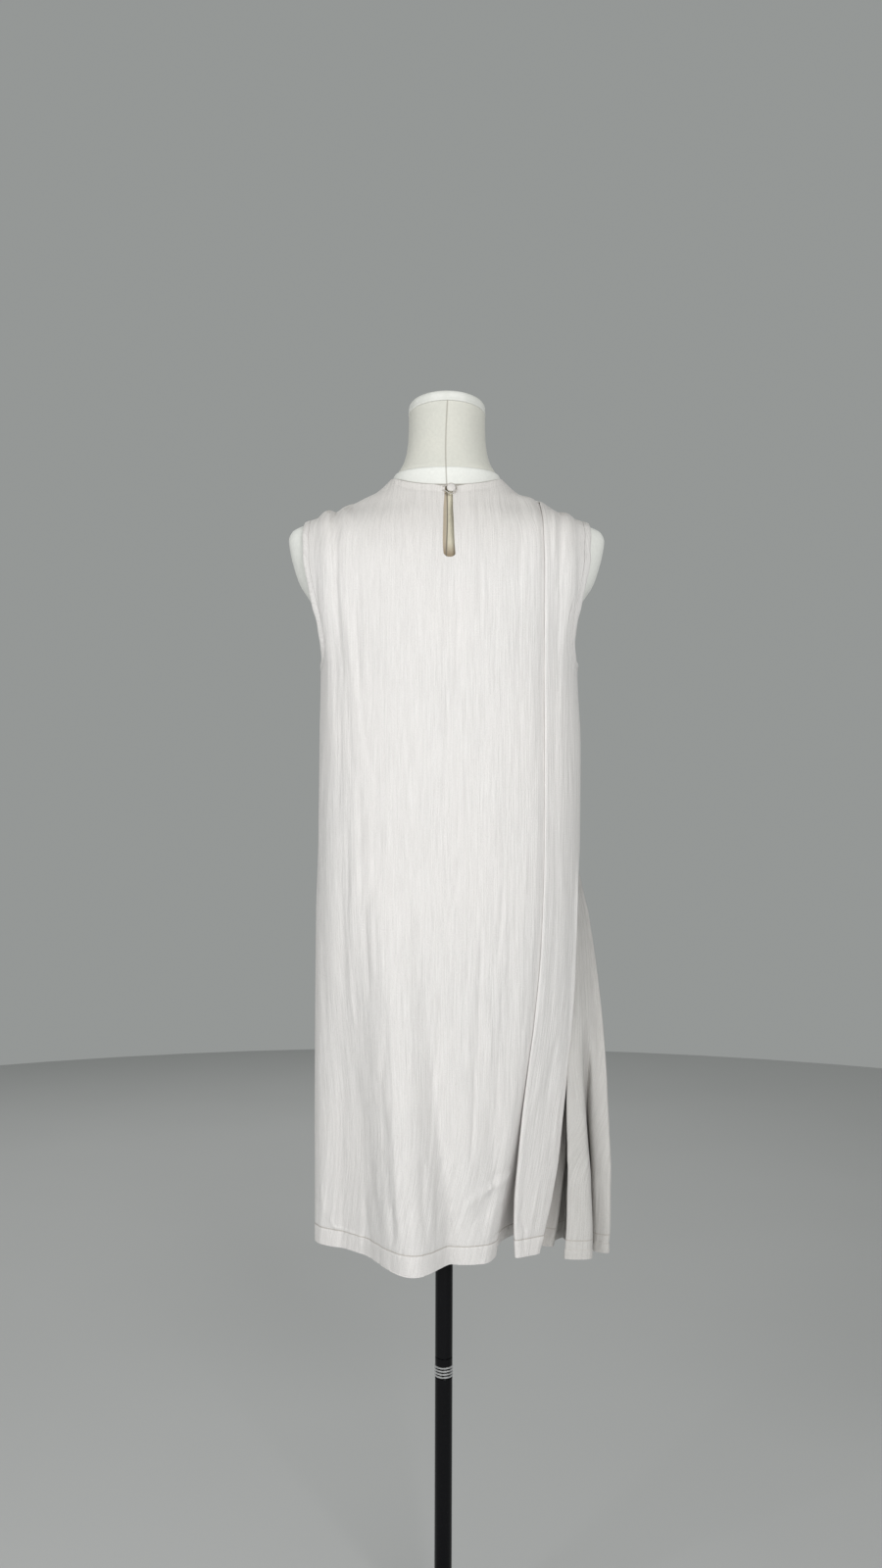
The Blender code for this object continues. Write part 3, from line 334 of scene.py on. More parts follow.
FRONT_CREASES = (
    (1425, -149, -146, 1318, -142, -0.7, 2.6),
    (1436, -136, -133, 1345, -129, 0.7, 2.6),
    (1438, -124, -120, 1372, -117, -0.6, 2.4),
    (1398, -113, -110, 1236, -103, -0.8, 3),
    (1330, -98, -95.5, 1192, -90, 0.5, 2.6),
    (1254, -121, -119, 1098, -115, -0.8, 3),
    (1206, -76, -74, 1080, -73, -0.5, 2.2),
    (1372, -56, -54, 1284, -55, -0.5, 2.4),
    (1298, -31, -30, 1176, -32, -0.6, 2.6),
    (1366, 6, 8, 1262, 7, -1, 4.5),
    (1274, 4, 1, 1126, -1, -0.9, 3.4),
    (1384, 37, 35, 1296, 36, -0.5, 2.4),
    (1312, 56, 58, 1188, 57, -0.5, 2.4),
    (1424, 101, 98, 1302, 94, -0.8, 3),
    (1436, 133, 130, 1338, 127, 0.7, 2.8),
    (1396, 144, 141, 1274, 137, -0.6, 2.8),
    (1212, 118, 116, 1066, 113, -0.7, 3),
    (1108, 84, 85, 962, 88, -0.7, 2.6),
    (1086, 48, 46, 974, 44, 0.5, 2.2),
    (1070, -96, -95, 930, -93, -0.8, 2.8),
    (1024, -57, -58, 914, -60, -0.6, 2.2),
    (1004, -19, -20, 866, -19, -0.8, 2.6),
    (968, 17, 19, 838, 22, -0.7, 2.4),
    (936, -121, -120, 790, -115, -0.8, 3.2),
    (902, 42, 43, 760, 48, -1, 2.8),
    (884, 106, 108, 742, 112, -0.7, 2.8),
    (858, -87, -86, 716, -86, 0.7, 2.6),
    (830, -48, -47, 676, -43, -1.1, 3),
    (804, 76, 77, 664, 79, 0.7, 2.6),
    (778, -10, -9, 624, -6, -0.9, 2.8),
    (746, 20, 21, 590, 24, -1, 3),
    (722, -109, -107, 572, -101, -0.8, 3),
    (694, 101, 103, 548, 106, -1, 3.4),
    (676, -70, -69, 544, -68, 1.1, 3),
    (652, 46, 47, 546, 49, -1.2, 3.6),
    (628, -33, -32, 540, -30, -0.9, 2.6),
    (612, 69, 69, 542, 70, 0.9, 2.8),
)

# Short creases that run across the cloth, in mm: both ends, height and half width.
BACK_CRUMPLES = (
    (27.5, 586.2, 54.7, 603.6, 1.4, 2.6),
    (52.3, 602.8, 78.7, 616.8, 1.8, 2.6),
    (52.3, 610.1, 79.8, 624, -1.2, 2.4),
    (60.8, 590.6, 81.2, 605.5, -0.7, 2.6),
    (1.7, 568.9, 34.5, 589.4, 0.6, 2.6),
    (24.1, 557.3, 52.5, 577.3, -0.8, 5),
    (51.5, 543.4, 57.4, 571.5, 1, 2.8),
    (64.6, 573.1, 80.2, 587.2, -0.8, 2.4),
    (68.3, 554.2, 80.4, 562.6, 0.8, 2.4),
    (62.4, 541.4, 79.3, 549.2, -1, 2.4),
    (-153.8, 587.2, -150, 556.9, 0.6, 2.2),
    (-150, 559.4, -135.9, 536.9, 0.6, 2.2),
    (-138.5, 537.8, -102.8, 533.7, 0.6, 2.2),
    (-145.9, 585.6, -129.3, 592.1, -0.5, 2.4),
    (-140.8, 571.5, -125.6, 577.6, -0.4, 2.4),
    (90.1, 567.4, 97.7, 545.2, -1, 2.2),
    (105, 555.2, 115, 549.6, -0.8, 2.2),
    (94.9, 579.1, 104.7, 585, -0.4, 2),
    (-63.5, 584.3, -62.3, 549.1, -1.2, 3),
    (-97.6, 581.4, -92.6, 537.4, -0.8, 3),
)
FRONT_CRUMPLES = (
    (-48, 593, -14, 614, 1.2, 2.6),
    (-46, 601, -16, 621, -0.9, 2.4),
    (78, 562, 102, 580, -0.8, 3),
    (81, 550, 105, 556, 0.8, 2.4),
    (-134, 556, -112, 540, 0.7, 2.2),
    (-129, 574, -113, 579, -0.5, 2.4),
)

SECTION_COLUMNS = ("z", "left", "right", "back", "front", "side_y", "power")
SECTIONS = (
    (0.512, 0.1635, 0.170, 0.0780, 0.088, 0.012, 1.50),
    (0.650, 0.1637, 0.170, 0.0900, 0.098, 0.006, 1.65),
    (0.800, 0.1632, 0.170, 0.1010, 0.106, 0.001, 1.85),
    (0.930, 0.1622, 0.169, 0.1085, 0.111, 0.000, 2.10),
    (1.020, 0.1598, 0.168, 0.1090, 0.112, 0.000, 2.20),
    (1.140, 0.1588, 0.169, 0.1065, 0.114, 0.000, 2.25),
    (1.231, 0.1575, 0.165, 0.1030, 0.117, 0.000, 2.20),
    (1.262, 0.1650, 0.169, 0.1020, 0.117, 0.000, 2.15),
    (1.290, 0.1765, 0.178, 0.1010, 0.114, 0.000, 2.10),
    (1.330, 0.1930, 0.193, 0.0975, 0.106, 0.000, 2.00),
    (1.370, 0.2035, 0.2035, 0.0905, 0.094, 0.000, 1.95),
    (1.3940, 0.2035, 0.2035, 0.0840, 0.084, 0.000, 1.85),
    (1.4080, 0.1965, 0.1965, 0.0785, 0.077, 0.000, 1.75),
    (1.4162, 0.1820, 0.182, 0.0750, 0.073, 0.000, 1.65),
    (1.4212, 0.1680, 0.168, 0.0730, 0.070, 0.000, 1.60),
    (1.4254, 0.1550, 0.155, 0.0712, 0.068, 0.000, 1.55),
    (1.4330, 0.1330, 0.133, 0.0675, 0.064, 0.000, 1.50),
    (1.4398, 0.1200, 0.120, 0.0643, 0.061, 0.000, 1.50),
    (1.4472, 0.1060, 0.106, 0.0608, 0.058, 0.000, 1.55),
    (1.4548, 0.0896, 0.0896, 0.0580, 0.056, 0.000, 1.65),
    (1.4712, 0.0705, 0.0705, 0.0550, 0.055, 0.000, 1.80),
)

# How much of the section's half width the cloth keeps beside the armhole.
ARMHOLE_COLUMNS = ("z", "cut")
ARMHOLE = (
    (1.2310, 1.000),
    (1.2318, 0.993),
    (1.2345, 0.974),
    (1.2430, 0.944),
    (1.2600, 0.908),
    (1.2900, 0.868),
    (1.3300, 0.842),
    (1.3700, 0.828),
    (1.3940, 0.834),
    (1.4080, 0.860),
    (1.4162, 0.928),
    (1.4212, 1.000),
)

# Right-hand edges of the panels: the long pleat's line, and where the panels fold under beside the
# insert. Below the opening's top the fold edges draw inwards.
EDGE_COLUMNS = ("z", "pleat_x", "back_edge_x", "front_edge_x", "turn_x", "turn_y")
EDGES = (
    (0.512, 0.0865, 0.1129, 0.1340, -0.0070, 0.036),
    (0.553, 0.0845, 0.1230, 0.1400, -0.0060, 0.036),
    (0.583, 0.0850, 0.1290, 0.1440, -0.0060, 0.036),
    (0.619, 0.0878, 0.1350, 0.1480, -0.0050, 0.036),
    (0.692, 0.0945, 0.1425, 0.1530, -0.0040, 0.035),
    (0.742, 0.1005, 0.1480, 0.1560, -0.0030, 0.034),
    (0.802, 0.1080, 0.1530, 0.1580, -0.0010, 0.030),
    (0.900, 0.1160, 0.1575, 0.1600, 0.0010, 0.020),
    (1.020, 0.1190, 0.1600, 0.1610, 0.0020, 0.010),
    (1.231, 0.1185, 0.1540, 0.1540, 0.0020, 0.010),
    (1.330, 0.1185, 0.1580, 0.1580, 0.0020, 0.010),
    (1.395, 0.1175, 0.1590, 0.1590, 0.0020, 0.010),
    (1.450, 0.1150, 0.1600, 0.1600, 0.0020, 0.010),
)

# The long pleat, across the cloth: x from its line, and depth below the band that lies on top, first
# closed as from the shoulder to the hip, then open as in the valley at the hem.
PLEAT = (
    (-0.0160, 0.0000, -0.0480, 0.0000),
    (-0.0085, 0.0006, -0.0345, -0.0020),
    (-0.0030, 0.0027, -0.0265, 0.0070),
    (0.0020, 0.0034, -0.0210, 0.0440),
    (0.0075, 0.0034, -0.0110, 0.0640),
    (0.0087, 0.0026, 0.0040, 0.0740),
    (0.0075, 0.0017, 0.0080, 0.0560),
    (0.0012, 0.0017, 0.0050, 0.0280),
    (0.0000, 0.0008, 0.0005, 0.0080),
    (0.0012, 0.0000, 0.0015, 0.0000),
    (0.0070, 0.0000, 0.0110, -0.0005),
)
PLEAT_CLOSED_Z = 1.00
PLEAT_OPENING_POWER = 4.2

# Soft folds: where each starts and ends, its height out of the cloth and its half widths.
FOLD_COLUMNS = (
    "top_z", "top_x", "top_height", "top_width",
    "low_z", "low_x", "low_height", "low_left", "low_right",
)
BACK_FOLDS = {
    "hem_ridge": (1.00, -0.074, 0.000, 0.040, 0.512, -0.040, 0.046, 0.055, 0.047),
    "side_hollow": (0.95, -0.128, 0.000, 0.030, 0.512, -0.122, -0.010, 0.032, 0.030),
    "seat_fall": (0.90, 0.020, 0.000, 0.040, 0.512, 0.036, 0.006, 0.030, 0.024),
    "slit_hollow": (1.36, 0.004, -0.004, 0.022, 1.10, 0.002, 0.000, 0.030, 0.030),
    "left_tuck_outer": (1.430, -0.150, 0.0060, 0.012, 1.10, -0.139, 0.0010, 0.012, 0.012),
    "left_tuck_inner": (1.435, -0.127, 0.0030, 0.012, 1.05, -0.112, 0.0012, 0.014, 0.014),
    "right_tuck": (1.430, 0.150, 0.0042, 0.011, 1.15, 0.142, 0.0010, 0.010, 0.010),
    "pleat_rise": (1.444, 0.119, 0.0048, 0.028, 1.30, 0.118, 0.0000, 0.030, 0.030),
}
FRONT_FOLDS = {
    "left_ridge": (1.05, -0.085, 0.000, 0.040, 0.512, -0.074, 0.030, 0.044, 0.050),
    "right_ridge": (1.00, 0.060, 0.000, 0.040, 0.512, 0.068, 0.026, 0.044, 0.040),
    "centre_fall": (0.95, -0.010, 0.000, 0.040, 0.512, -0.006, -0.010, 0.034, 0.034),
    "left_tuck_outer": (1.430, -0.150, 0.0060, 0.012, 1.10, -0.136, 0.0010, 0.012, 0.012),
    "left_tuck_inner": (1.435, -0.127, 0.0030, 0.012, 1.05, -0.110, 0.0012, 0.014, 0.014),
    "right_tuck_inner": (1.441, 0.118, 0.0045, 0.012, 1.08, 0.108, 0.0010, 0.014, 0.014),
    "right_tuck_outer": (1.430, 0.150, 0.0045, 0.012, 1.12, 0.138, 0.0010, 0.012, 0.012),
}

# The side insert's pleats at the hem, from the back seam round to the front seam.
INSERT_PLEATS = {
    "first_face": (0.1236, -0.0095),
    "first_lip": (0.1330, -0.0130),
    "first_wall": (0.1400, 0.0100),
    "first_valley": (0.1500, 0.0220),
    "first_back": (0.1560, -0.0080),
    "first_rise": (0.1530, -0.0380),
    "first_crown": (0.1475, -0.0570),
    "first_middle": (0.1640, -0.0600),
    "first_edge": (0.1775, -0.0575),
    "second_side": (0.1795, -0.0220),
    "second_valley": (0.1862, 0.0000),
    "second_rise": (0.1868, -0.0300),
    "second_face": (0.1925, -0.0340),
    "second_edge": (0.2010, -0.0360),
    "third_valley": (0.1895, -0.0080),
    "third_edge": (0.2010, 0.0120),
    "fourth_valley": (0.1800, 0.0200),
    "fourth_edge": (0.1875, 0.0500),
    "last_valley": (0.1600, 0.0420),
}
INSERT_SPREAD = 0.76

# How far each station of the insert draws in halfway up, from the back edge on.
INSERT_DRAWN_IN = (
    0.0, 0.0, 0.005, 0.011, 0.016, 0.019, 0.020, 0.020, 0.021, 0.021,
    0.020, 0.018, 0.014, 0.005, 0.002, 0.0, 0.0, 0.0, 0.0, 0.0, 0.0,
)

# The insert tucks in behind the panels' edges near its top.
INSERT_TUCK = 0.0060
INSERT_TUCK_FROM_Z = 0.925
INSERT_TUCK_OVER = 0.07

# The insert's valleys: the stations on either side, and the height where each one opens.
INSERT_VALLEYS = ((2, 7, 0.735), (9, 13, 0.800))
INSERT_VALLEY_OVER = 0.14
INSERT_BULGE = 0.004

# The insert starts a little below the opening's top, clear of the panels, and is held at its seams.
INSERT_BELOW_TOP = 0.004
INSERT_CLEAR = 0.0006
INSERT_HOLD = 0.006

# Cloth run where the band starts, and across the insert at the hem.
BAND_RUN = 0.30
INSERT_RUN = 0.34
PLEAT_UNDER_ROW = 7

# Dress form: smooth sections on a general figure, clear of the cloth.
FORM_COLUMNS = ("z", "half", "back", "front", "power")
FORM_SECTIONS = (
    (0.860, 0.136, 0.082, 0.080, 2.2),
    (0.900, 0.142, 0.092, 0.085, 2.2),
    (0.950, 0.1425, 0.097, 0.087, 2.2),
    (1.010, 0.134, 0.093, 0.084, 2.15),
    (1.070, 0.122, 0.084, 0.082, 2.1),
    (1.120, 0.117, 0.078, 0.083, 2.1),
    (1.180, 0.127, 0.080, 0.093, 2.1),
    (1.240, 0.144, 0.087, 0.103, 2.1),
    (1.290, 0.158, 0.089, 0.102, 2.0),
    (1.317, 0.1700, 0.088, 0.097, 2.0),
    (1.339, 0.1840, 0.085, 0.090, 2.0),
    (1.3600, 0.1915, 0.081, 0.083, 1.95),
    (1.3800, 0.1965, 0.076, 0.076, 1.9),
    (1.3960, 0.1985, 0.070, 0.069, 1.85),
    (1.4060, 0.1945, 0.0660, 0.0645, 1.8),
    (1.4120, 0.1850, 0.0630, 0.0615, 1.7),
    (1.4178, 0.1670, 0.0605, 0.0585, 1.6),
    (1.4235, 0.1530, 0.0585, 0.0565, 1.55),
    (1.4318, 0.1320, 0.0555, 0.0535, 1.5),
    (1.4407, 0.1150, 0.0530, 0.0510, 1.5),
    (1.4494, 0.0975, 0.0510, 0.0500, 1.55),
    (1.4574, 0.0820, 0.0500, 0.0500, 1.65),
    (1.4656, 0.0700, 0.0490, 0.0495, 1.8),
    (1.4765, 0.0655, 0.0485, 0.0490, 1.9),
    (1.4870, 0.0580, 0.0480, 0.0488, 1.95),
    (1.4950, 0.0540, 0.0475, 0.0485, 2.0),
    (1.5100, 0.0502, 0.0472, 0.0482, 2.0),
    (1.5250, 0.0486, 0.0470, 0.0480, 2.0),
    (1.5400, 0.0480, 0.0470, 0.0475, 2.0),
)
NECK_LEAN = 0.004
NECK_LEAN_FROM_Z = 1.44
NECK_LEAN_OVER = 0.06


def smooth_between(t, low, low_slope, high, high_slope):
    """A smooth step from one value to the next that leaves and arrives with the given slopes."""
    return (
        low * (1 + 2 * t) * (1 - t) ** 2
        + low_slope * t * (1 - t) ** 2
        + high * t * t * (3 - 2 * t)
        + high_slope * t * t * (t - 1)
    )


class Table:
    """Columns of a table by name, each a smooth function of the table's first column."""

    def __init__(self, names, rows):
        data = np.array(rows, float)
        self.at = data[:, 0]
        self.columns = {name: data[:, i] for i, name in enumerate(names)}
        self.slopes = {name: self.slope(values) for name, values in self.columns.items()}

    def slope(self, values):
        """Slopes that never overshoot between two rows."""
        steps = np.diff(self.at)
        rises = np.diff(values) / steps
        slopes = np.zeros(len(values))
        slopes[0] = rises[0]
        slopes[-1] = rises[-1]
        before, after = rises[:-1], rises[1:]
        same_way = before * after > 0
        total = np.where(same_way, before + after, 1.0)
        slopes[1:-1] = np.where(same_way, 2.0 * before * after / total, 0.0)
        return slopes

    def __call__(self, name, z):
        z = np.clip(np.asarray(z, float), self.at[0], self.at[-1])
        row = np.clip(np.searchsorted(self.at, z, side="right") - 1, 0, len(self.at) - 2)
        step = self.at[row + 1] - self.at[row]
        t = (z - self.at[row]) / step
        values, slopes = self.columns[name], self.slopes[name]
        return smooth_between(t, values[row], slopes[row] * step, values[row + 1], slopes[row + 1] * step)


SECTION = Table(SECTION_COLUMNS, SECTIONS)
CUT = Table(ARMHOLE_COLUMNS, ARMHOLE)
EDGE = Table(EDGE_COLUMNS, EDGES)
FORM = Table(FORM_COLUMNS, FORM_SECTIONS)
SHOULDER_LINE = Table(("x", "z"), sorted((row[1], row[0]) for row in SECTIONS[14:]))

BACK, FRONT = -1, 1


def ease(t):
    """0 to 1 with a soft start and a soft end."""
    t = np.clip(t, 0.0, 1.0)
    return t * t * (3.0 - 2.0 * t)


def spline(anchors, per_span):
    """Points on a smooth curve through anchors of shape (rows, anchors, values)."""
    chords = np.linalg.norm(np.diff(anchors, axis=1), axis=2, keepdims=True)
    unit = np.diff(anchors, axis=1) / chords
    tangents = np.empty_like(anchors)
    tangents[:, 0] = unit[:, 0]
    tangents[:, -1] = unit[:, -1]
    before, after = chords[:, :-1], chords[:, 1:]
    tangents[:, 1:-1] = (unit[:, :-1] * after + unit[:, 1:] * before) / (before + after)
    low_slope, high_slope = tangents[:, :-1] * chords, tangents[:, 1:] * chords
    steps = [step / per_span for step in range(1, per_span + 1)]
    points = [smooth_between(t, anchors[:, :-1], low_slope, anchors[:, 1:], high_slope) for t in steps]
    spans = np.stack(points, axis=2).reshape(len(anchors), -1, anchors.shape[2])
    return np.concatenate([anchors[:, :1], spans], axis=1)


def section_y(x, z, side):
    """The cloth's y at x and z, before any fold, on the back or the front."""
    half = np.where(x < 0, SECTION("left", z), SECTION("right", z))
    power = SECTION("power", z)
    centre_y = -SECTION("back", z) if side == BACK else SECTION("front", z)
    side_y = SECTION("side_y", z)
    share = np.clip(np.abs(x) / half, 0.0, 1.0)
    return side_y + (centre_y - side_y) * (1.0 - share**power) ** (1.0 / power)


def section_normal(points, side):
    """Outward normals of the unfolded section at points on or near it."""
    def level(x, y, z):
        half = np.where(x < 0, SECTION("left", z), SECTION("right", z))
        depth = SECTION("back", z) if side == BACK else SECTION("front", z)
        power = SECTION("power", z)
        across = np.abs(x) / half
        along = np.abs(y - SECTION("side_y", z)) / depth
        return across**power + along**power

    step = 0.0005
    slopes = []
    for shift in np.eye(3) * step:
        slopes.append(level(*(points + shift).T) - level(*(points - shift).T))
    normal = np.stack(slopes, axis=1)
    return normal / np.linalg.norm(normal, axis=1, keepdims=True)


def fold_height(x, z, folds):
    """How far the soft folds stand out of the cloth at x and z."""
    total = np.zeros(np.broadcast(x, z).shape)
    for row in folds.values():
        fold = dict(zip(FOLD_COLUMNS, row))
        run = np.clip((fold["top_z"] - z) / (fold["top_z"] - fold["low_z"]), 0.0, 1.0)
        centre = fold["top_x"] + (fold["low_x"] - fold["top_x"]) * run
        height = fold["top_height"] + (fold["low_height"] - fold["top_height"]) * run
        away = x - centre
        low_width = np.where(away < 0, fold["low_left"], fold["low_right"])
        width = fold["top_width"] + (low_width - fold["top_width"]) * run
        total = total + height * np.clip(1.0 - (away / width) ** 2, 0.0, 1.0) ** 1.5
    return total


def top_z(x, side):
    """Height of the panel's top edge: the shoulder seam, and the neckline between."""
    neck_z = NECK_BACK_Z if side == BACK else NECK_FRONT_Z
    share = np.clip(np.abs(x) / NECK_SIDE_X, 0.0, 1.0)
    neckline = neck_z + (NECK_SIDE_Z - neck_z) * share**2.4
    return np.where(np.abs(x) < NECK_SIDE_X, neckline, SHOULDER_LINE("z", np.abs(x)))


def pleat_openness(z):
    """0 where the long pleat is closed, 1 at the hem."""
    run = np.clip((PLEAT_CLOSED_Z - z) / (PLEAT_CLOSED_Z - HEM_Z), 0.0, 1.0)
    return run**PLEAT_OPENING_POWER


def upper_rise(w):
    """Share of the way from the underarm to the top edge, with rows closer near the top."""
    return np.sin(0.5 * math.pi * np.asarray(w))


def row_heights(rows, x_top, side):
    """Heights of the rows for columns that reach the top edge at x_top."""
    lower, upper = rows
    low = np.repeat(np.array(lower)[:, None], len(x_top), axis=1)
    reach = top_z(x_top, side) - UNDERARM_Z
    high = UNDERARM_Z + upper_rise(upper)[:, None] * reach[None, :]
    return np.concatenate([low, high])


def edge_x(rows, end):
    """The panel's outline at its side seam and armhole, -1 left or +1 right, for every row."""
    lower, upper = rows
    column = "left" if end < 0 else "right"
    high_z = UNDERARM_Z + upper_rise(upper) * (SHOULDER_TIP_Z - UNDERARM_Z)
    low = SECTION(column, np.array(lower))
    high = SECTION(column, high_z) * CUT("cut", high_z)
    return end * np.concatenate([low, high])


def side_spread(t):
    """Column spacing that is closer near the side seam, where the cloth turns the corner."""
    return t * (0.5 + 0.5 * t)


def outward(points, side):
    """Unit normals of a grid of points, pointing out of the dress."""
    across = np.gradient(points, axis=1)
    up = np.gradient(points, axis=0)
    normal = np.cross(across, up)
    if side == FRONT:
        normal = -normal
    return normal / np.linalg.norm(normal, axis=2, keepdims=True)


def mitred(points):
    """Level offsets for a unit of thickness that keep a wall even round its knife edges."""
    along = np.diff(points[:, :, :2], axis=1)
    along /= np.linalg.norm(along, axis=2, keepdims=True)
    sideways = np.stack([along[:, :, 1], -along[:, :, 0], np.zeros(along.shape[:2])], axis=2)
    before = np.concatenate([sideways[:, :1], sideways], axis=1)
    after = np.concatenate([sideways, sideways[:, -1:]], axis=1)
    return (before + after) / (1.0 + (before * after).sum(axis=2, keepdims=True))


def place(x, z, side):
    """Base points of the cloth from x and z."""
    return np.stack([x, section_y(x, z, side), z], axis=2)


def section_slope(x, z, side):
    """How far the unfolded cloth moves along y per metre up."""
    return (section_y(x, z + MM, side) - section_y(x, z - MM, side)) / (2.0 * MM)


def lift(points, height, side):
    """Move points of the unfolded cloth out of it, keeping their x."""
    x, z = points[:, :, 0], points[:, :, 2]
    slope = np.clip(section_slope(x, z, side), -STEEPEST, STEEPEST)
    normal = np.stack([np.zeros_like(x), np.full_like(x, side), -side * slope], axis=2)
    normal /= np.linalg.norm(normal, axis=2, keepdims=True)
    return points + normal * height[:, :, None]


def turn_under(rows, count, side):
    """The right-hand end of a panel: round to the side seam, and folded under below it."""
    edge_name = "back_edge_x" if side == BACK else "front_edge_x"
    x_right = edge_x(rows, 1)
    tip_rows = row_heights(rows, np.array([SHOULDER_TIP_X]), side)[:, 0]
    x_edge = np.minimum(EDGE(edge_name, tip_rows), x_right - 0.006)
    t = np.linspace(0.0, 1.0, count + 1)[None, :]
    spread = 1.0 - (1.0 - t) ** 2
    x_closed = x_edge[:, None] + (x_right - x_edge)[:, None] * spread
    top_x = x_closed[-1]
    z = row_heights(rows, top_x, side)
    closed = place(x_closed, z, side)
    edge_y = section_y(x_edge, tip_rows, side)
    turn_x = EDGE("turn_x", tip_rows)
    turn_y = EDGE("turn_y", tip_rows)
    anchors = np.stack(
        [
            np.stack([x_edge, edge_y], axis=1),
            np.stack([x_edge + TURN_BULGE, edge_y - side * TURN_DROP], axis=1),
            np.stack([x_edge + 0.7 * TURN_BULGE, edge_y - side * (TURN_DROP + 0.2 * turn_y)], axis=1),
            np.stack([x_edge + turn_x, edge_y - side * turn_y], axis=1),
        ],
        axis=1,
    )
    curve = spline(anchors, 8)
    along = np.linspace(0, curve.shape[1] - 1, count + 1).round().astype(int)
    opened = np.concatenate([curve[:, along], z[:, :, None]], axis=2)
    amount = ease((OPENING_TOP_Z - z) / OPENING_EASE)[:, :, None]
    return closed + (opened - closed) * amount


def back_panel_points(rows, main, per_pleat_span, band, turn):
    """Mid-surface of the back panel: main part, long pleat, band, and the turned-under end."""
    x_left = edge_x(rows, -1)
    tip_rows = row_heights(rows, np.array([SHOULDER_TIP_X]), BACK)[:, 0]
    x_pleat = EDGE("pleat_x", tip_rows)
    openness = pleat_openness(tip_rows)[:, None, None]
    table = np.array(PLEAT)
    profile = spline(table[None, :, :2] + (table[None, :, 2:] - table[None, :, :2]) * openness,
                     per_pleat_span)
    x_fold = x_pleat[:, None] + profile[:, :, 0]
    marks = (x_left[-1], -NECK_SIDE_X, *SLIT_TOP_X, NECK_SIDE_X, x_fold[-1, 0])
    shares = span_shares(marks, main)
    x_main = x_left[:, None] + (x_fold[:, 0] - x_left)[:, None] * shares[None, :]
    end = turn_under(rows, turn, BACK)
    x_end = end[:, 0, 0]
    steps = np.linspace(0.0, 1.0, band + 1)[None, 1:-1]
    x_band = x_fold[:, -1:] + (x_end[:, None] - x_fold[:, -1:]) * steps
    x = np.concatenate([x_main[:, :-1], x_fold, x_band], axis=1)
    x = open_slit_columns(x, rows)
    z = row_heights(rows, x[-1], BACK)
    depth = np.zeros_like(x)
    first = x_main.shape[1] - 1
    depth[:, first:first + x_fold.shape[1]] = profile[:, :, 1]
    points = place(x, z, BACK)
    points = lift(points, fold_height(x, z, BACK_FOLDS) - depth, BACK)
    return np.concatenate([points, end], axis=1)


def span_shares(marks, counts):
    """Column shares between the marks, closer where the cloth turns at the side seam."""
    shares = [0.0]
    for low, high, (count, kind) in zip(marks[:-1], marks[1:], counts):
        for step in range(1, count + 1):
            t = step / count
            x = low + (high - low) * (side_spread(t) if kind == "side" else t)
            shares.append((x - marks[0]) / (marks[-1] - marks[0]))
    return np.array(shares)


def slit_share(w):
    """How far down the slit a row lies: 0 at the neckline, 1 at the slit's bottom."""
    z = UNDERARM_Z + upper_rise(w) * (NECK_BACK_Z - UNDERARM_Z)
    return (NECK_BACK_Z - z) / (NECK_BACK_Z - SLIT_BOTTOM_Z)


def open_slit_columns(x, rows):
    """Widen the columns beside the slit towards its rounded bottom."""
    lower, upper = rows
    down = np.concatenate([np.full(len(lower), 1.0), np.clip(slit_share(upper), 0.0, 1.0)])
    below = np.concatenate([np.full(len(lower), 9.0), slit_share(upper)])
    keep = 1.0 - ease((below - 1.0) / SLIT_FADE)
    width = SLIT_TOP_X[1] - SLIT_TOP_X[0]
    out = x.copy()
    for way, top, low in zip((-1, 1), SLIT_TOP_X, SLIT_LOW_X):
        own_side = np.clip(1.0 + way * (x - top) / width, 0.0, 1.0)
        near = np.clip(1.0 - np.abs(x - top) / SLIT_REACH, 0.0, 1.0)
        out = out + ((low - top) * down * keep)[:, None] * near * own_side
    return out


def front_panel_points(rows, main, turn):
    """Mid-surface of the plain front panel."""
    x_left = edge_x(rows, -1)
    end = turn_under(rows, turn, FRONT)
    x_end = end[:, 0, 0]
    marks = (x_left[-1], -NECK_SIDE_X, NECK_SIDE_X, x_end[-1])
    shares = span_shares(marks, main)[:-1]
    x = x_left[:, None] + (x_end - x_left)[:, None] * shares[None, :]
    z = row_heights(rows, x[-1], FRONT)
    points = lift(place(x, z, FRONT), fold_height(x, z, FRONT_FOLDS), FRONT)
    return np.concatenate([points, end], axis=1)


def part_seams(points, side, first_upper):
    """Hold the side and shoulder seams half a seam gap away from the other panel."""
    out = points.copy()
    half = 0.5 * SEAM + SEAM_SPARE
    limit = seam_y(out) + side * half
    at_seam = np.zeros(out.shape[:2], bool)
    at_seam[:, 0] = at_seam[:, -1] = at_seam[first_upper:] = True
    past = side * (out[:, :, 1] - limit) < 0
    out[:, :, 1] = np.where(at_seam & past, limit, out[:, :, 1])
    return out


def seam_y(points):
    """The y of the plane where back and front meet."""
    return SECTION("side_y", points[:, :, 2])


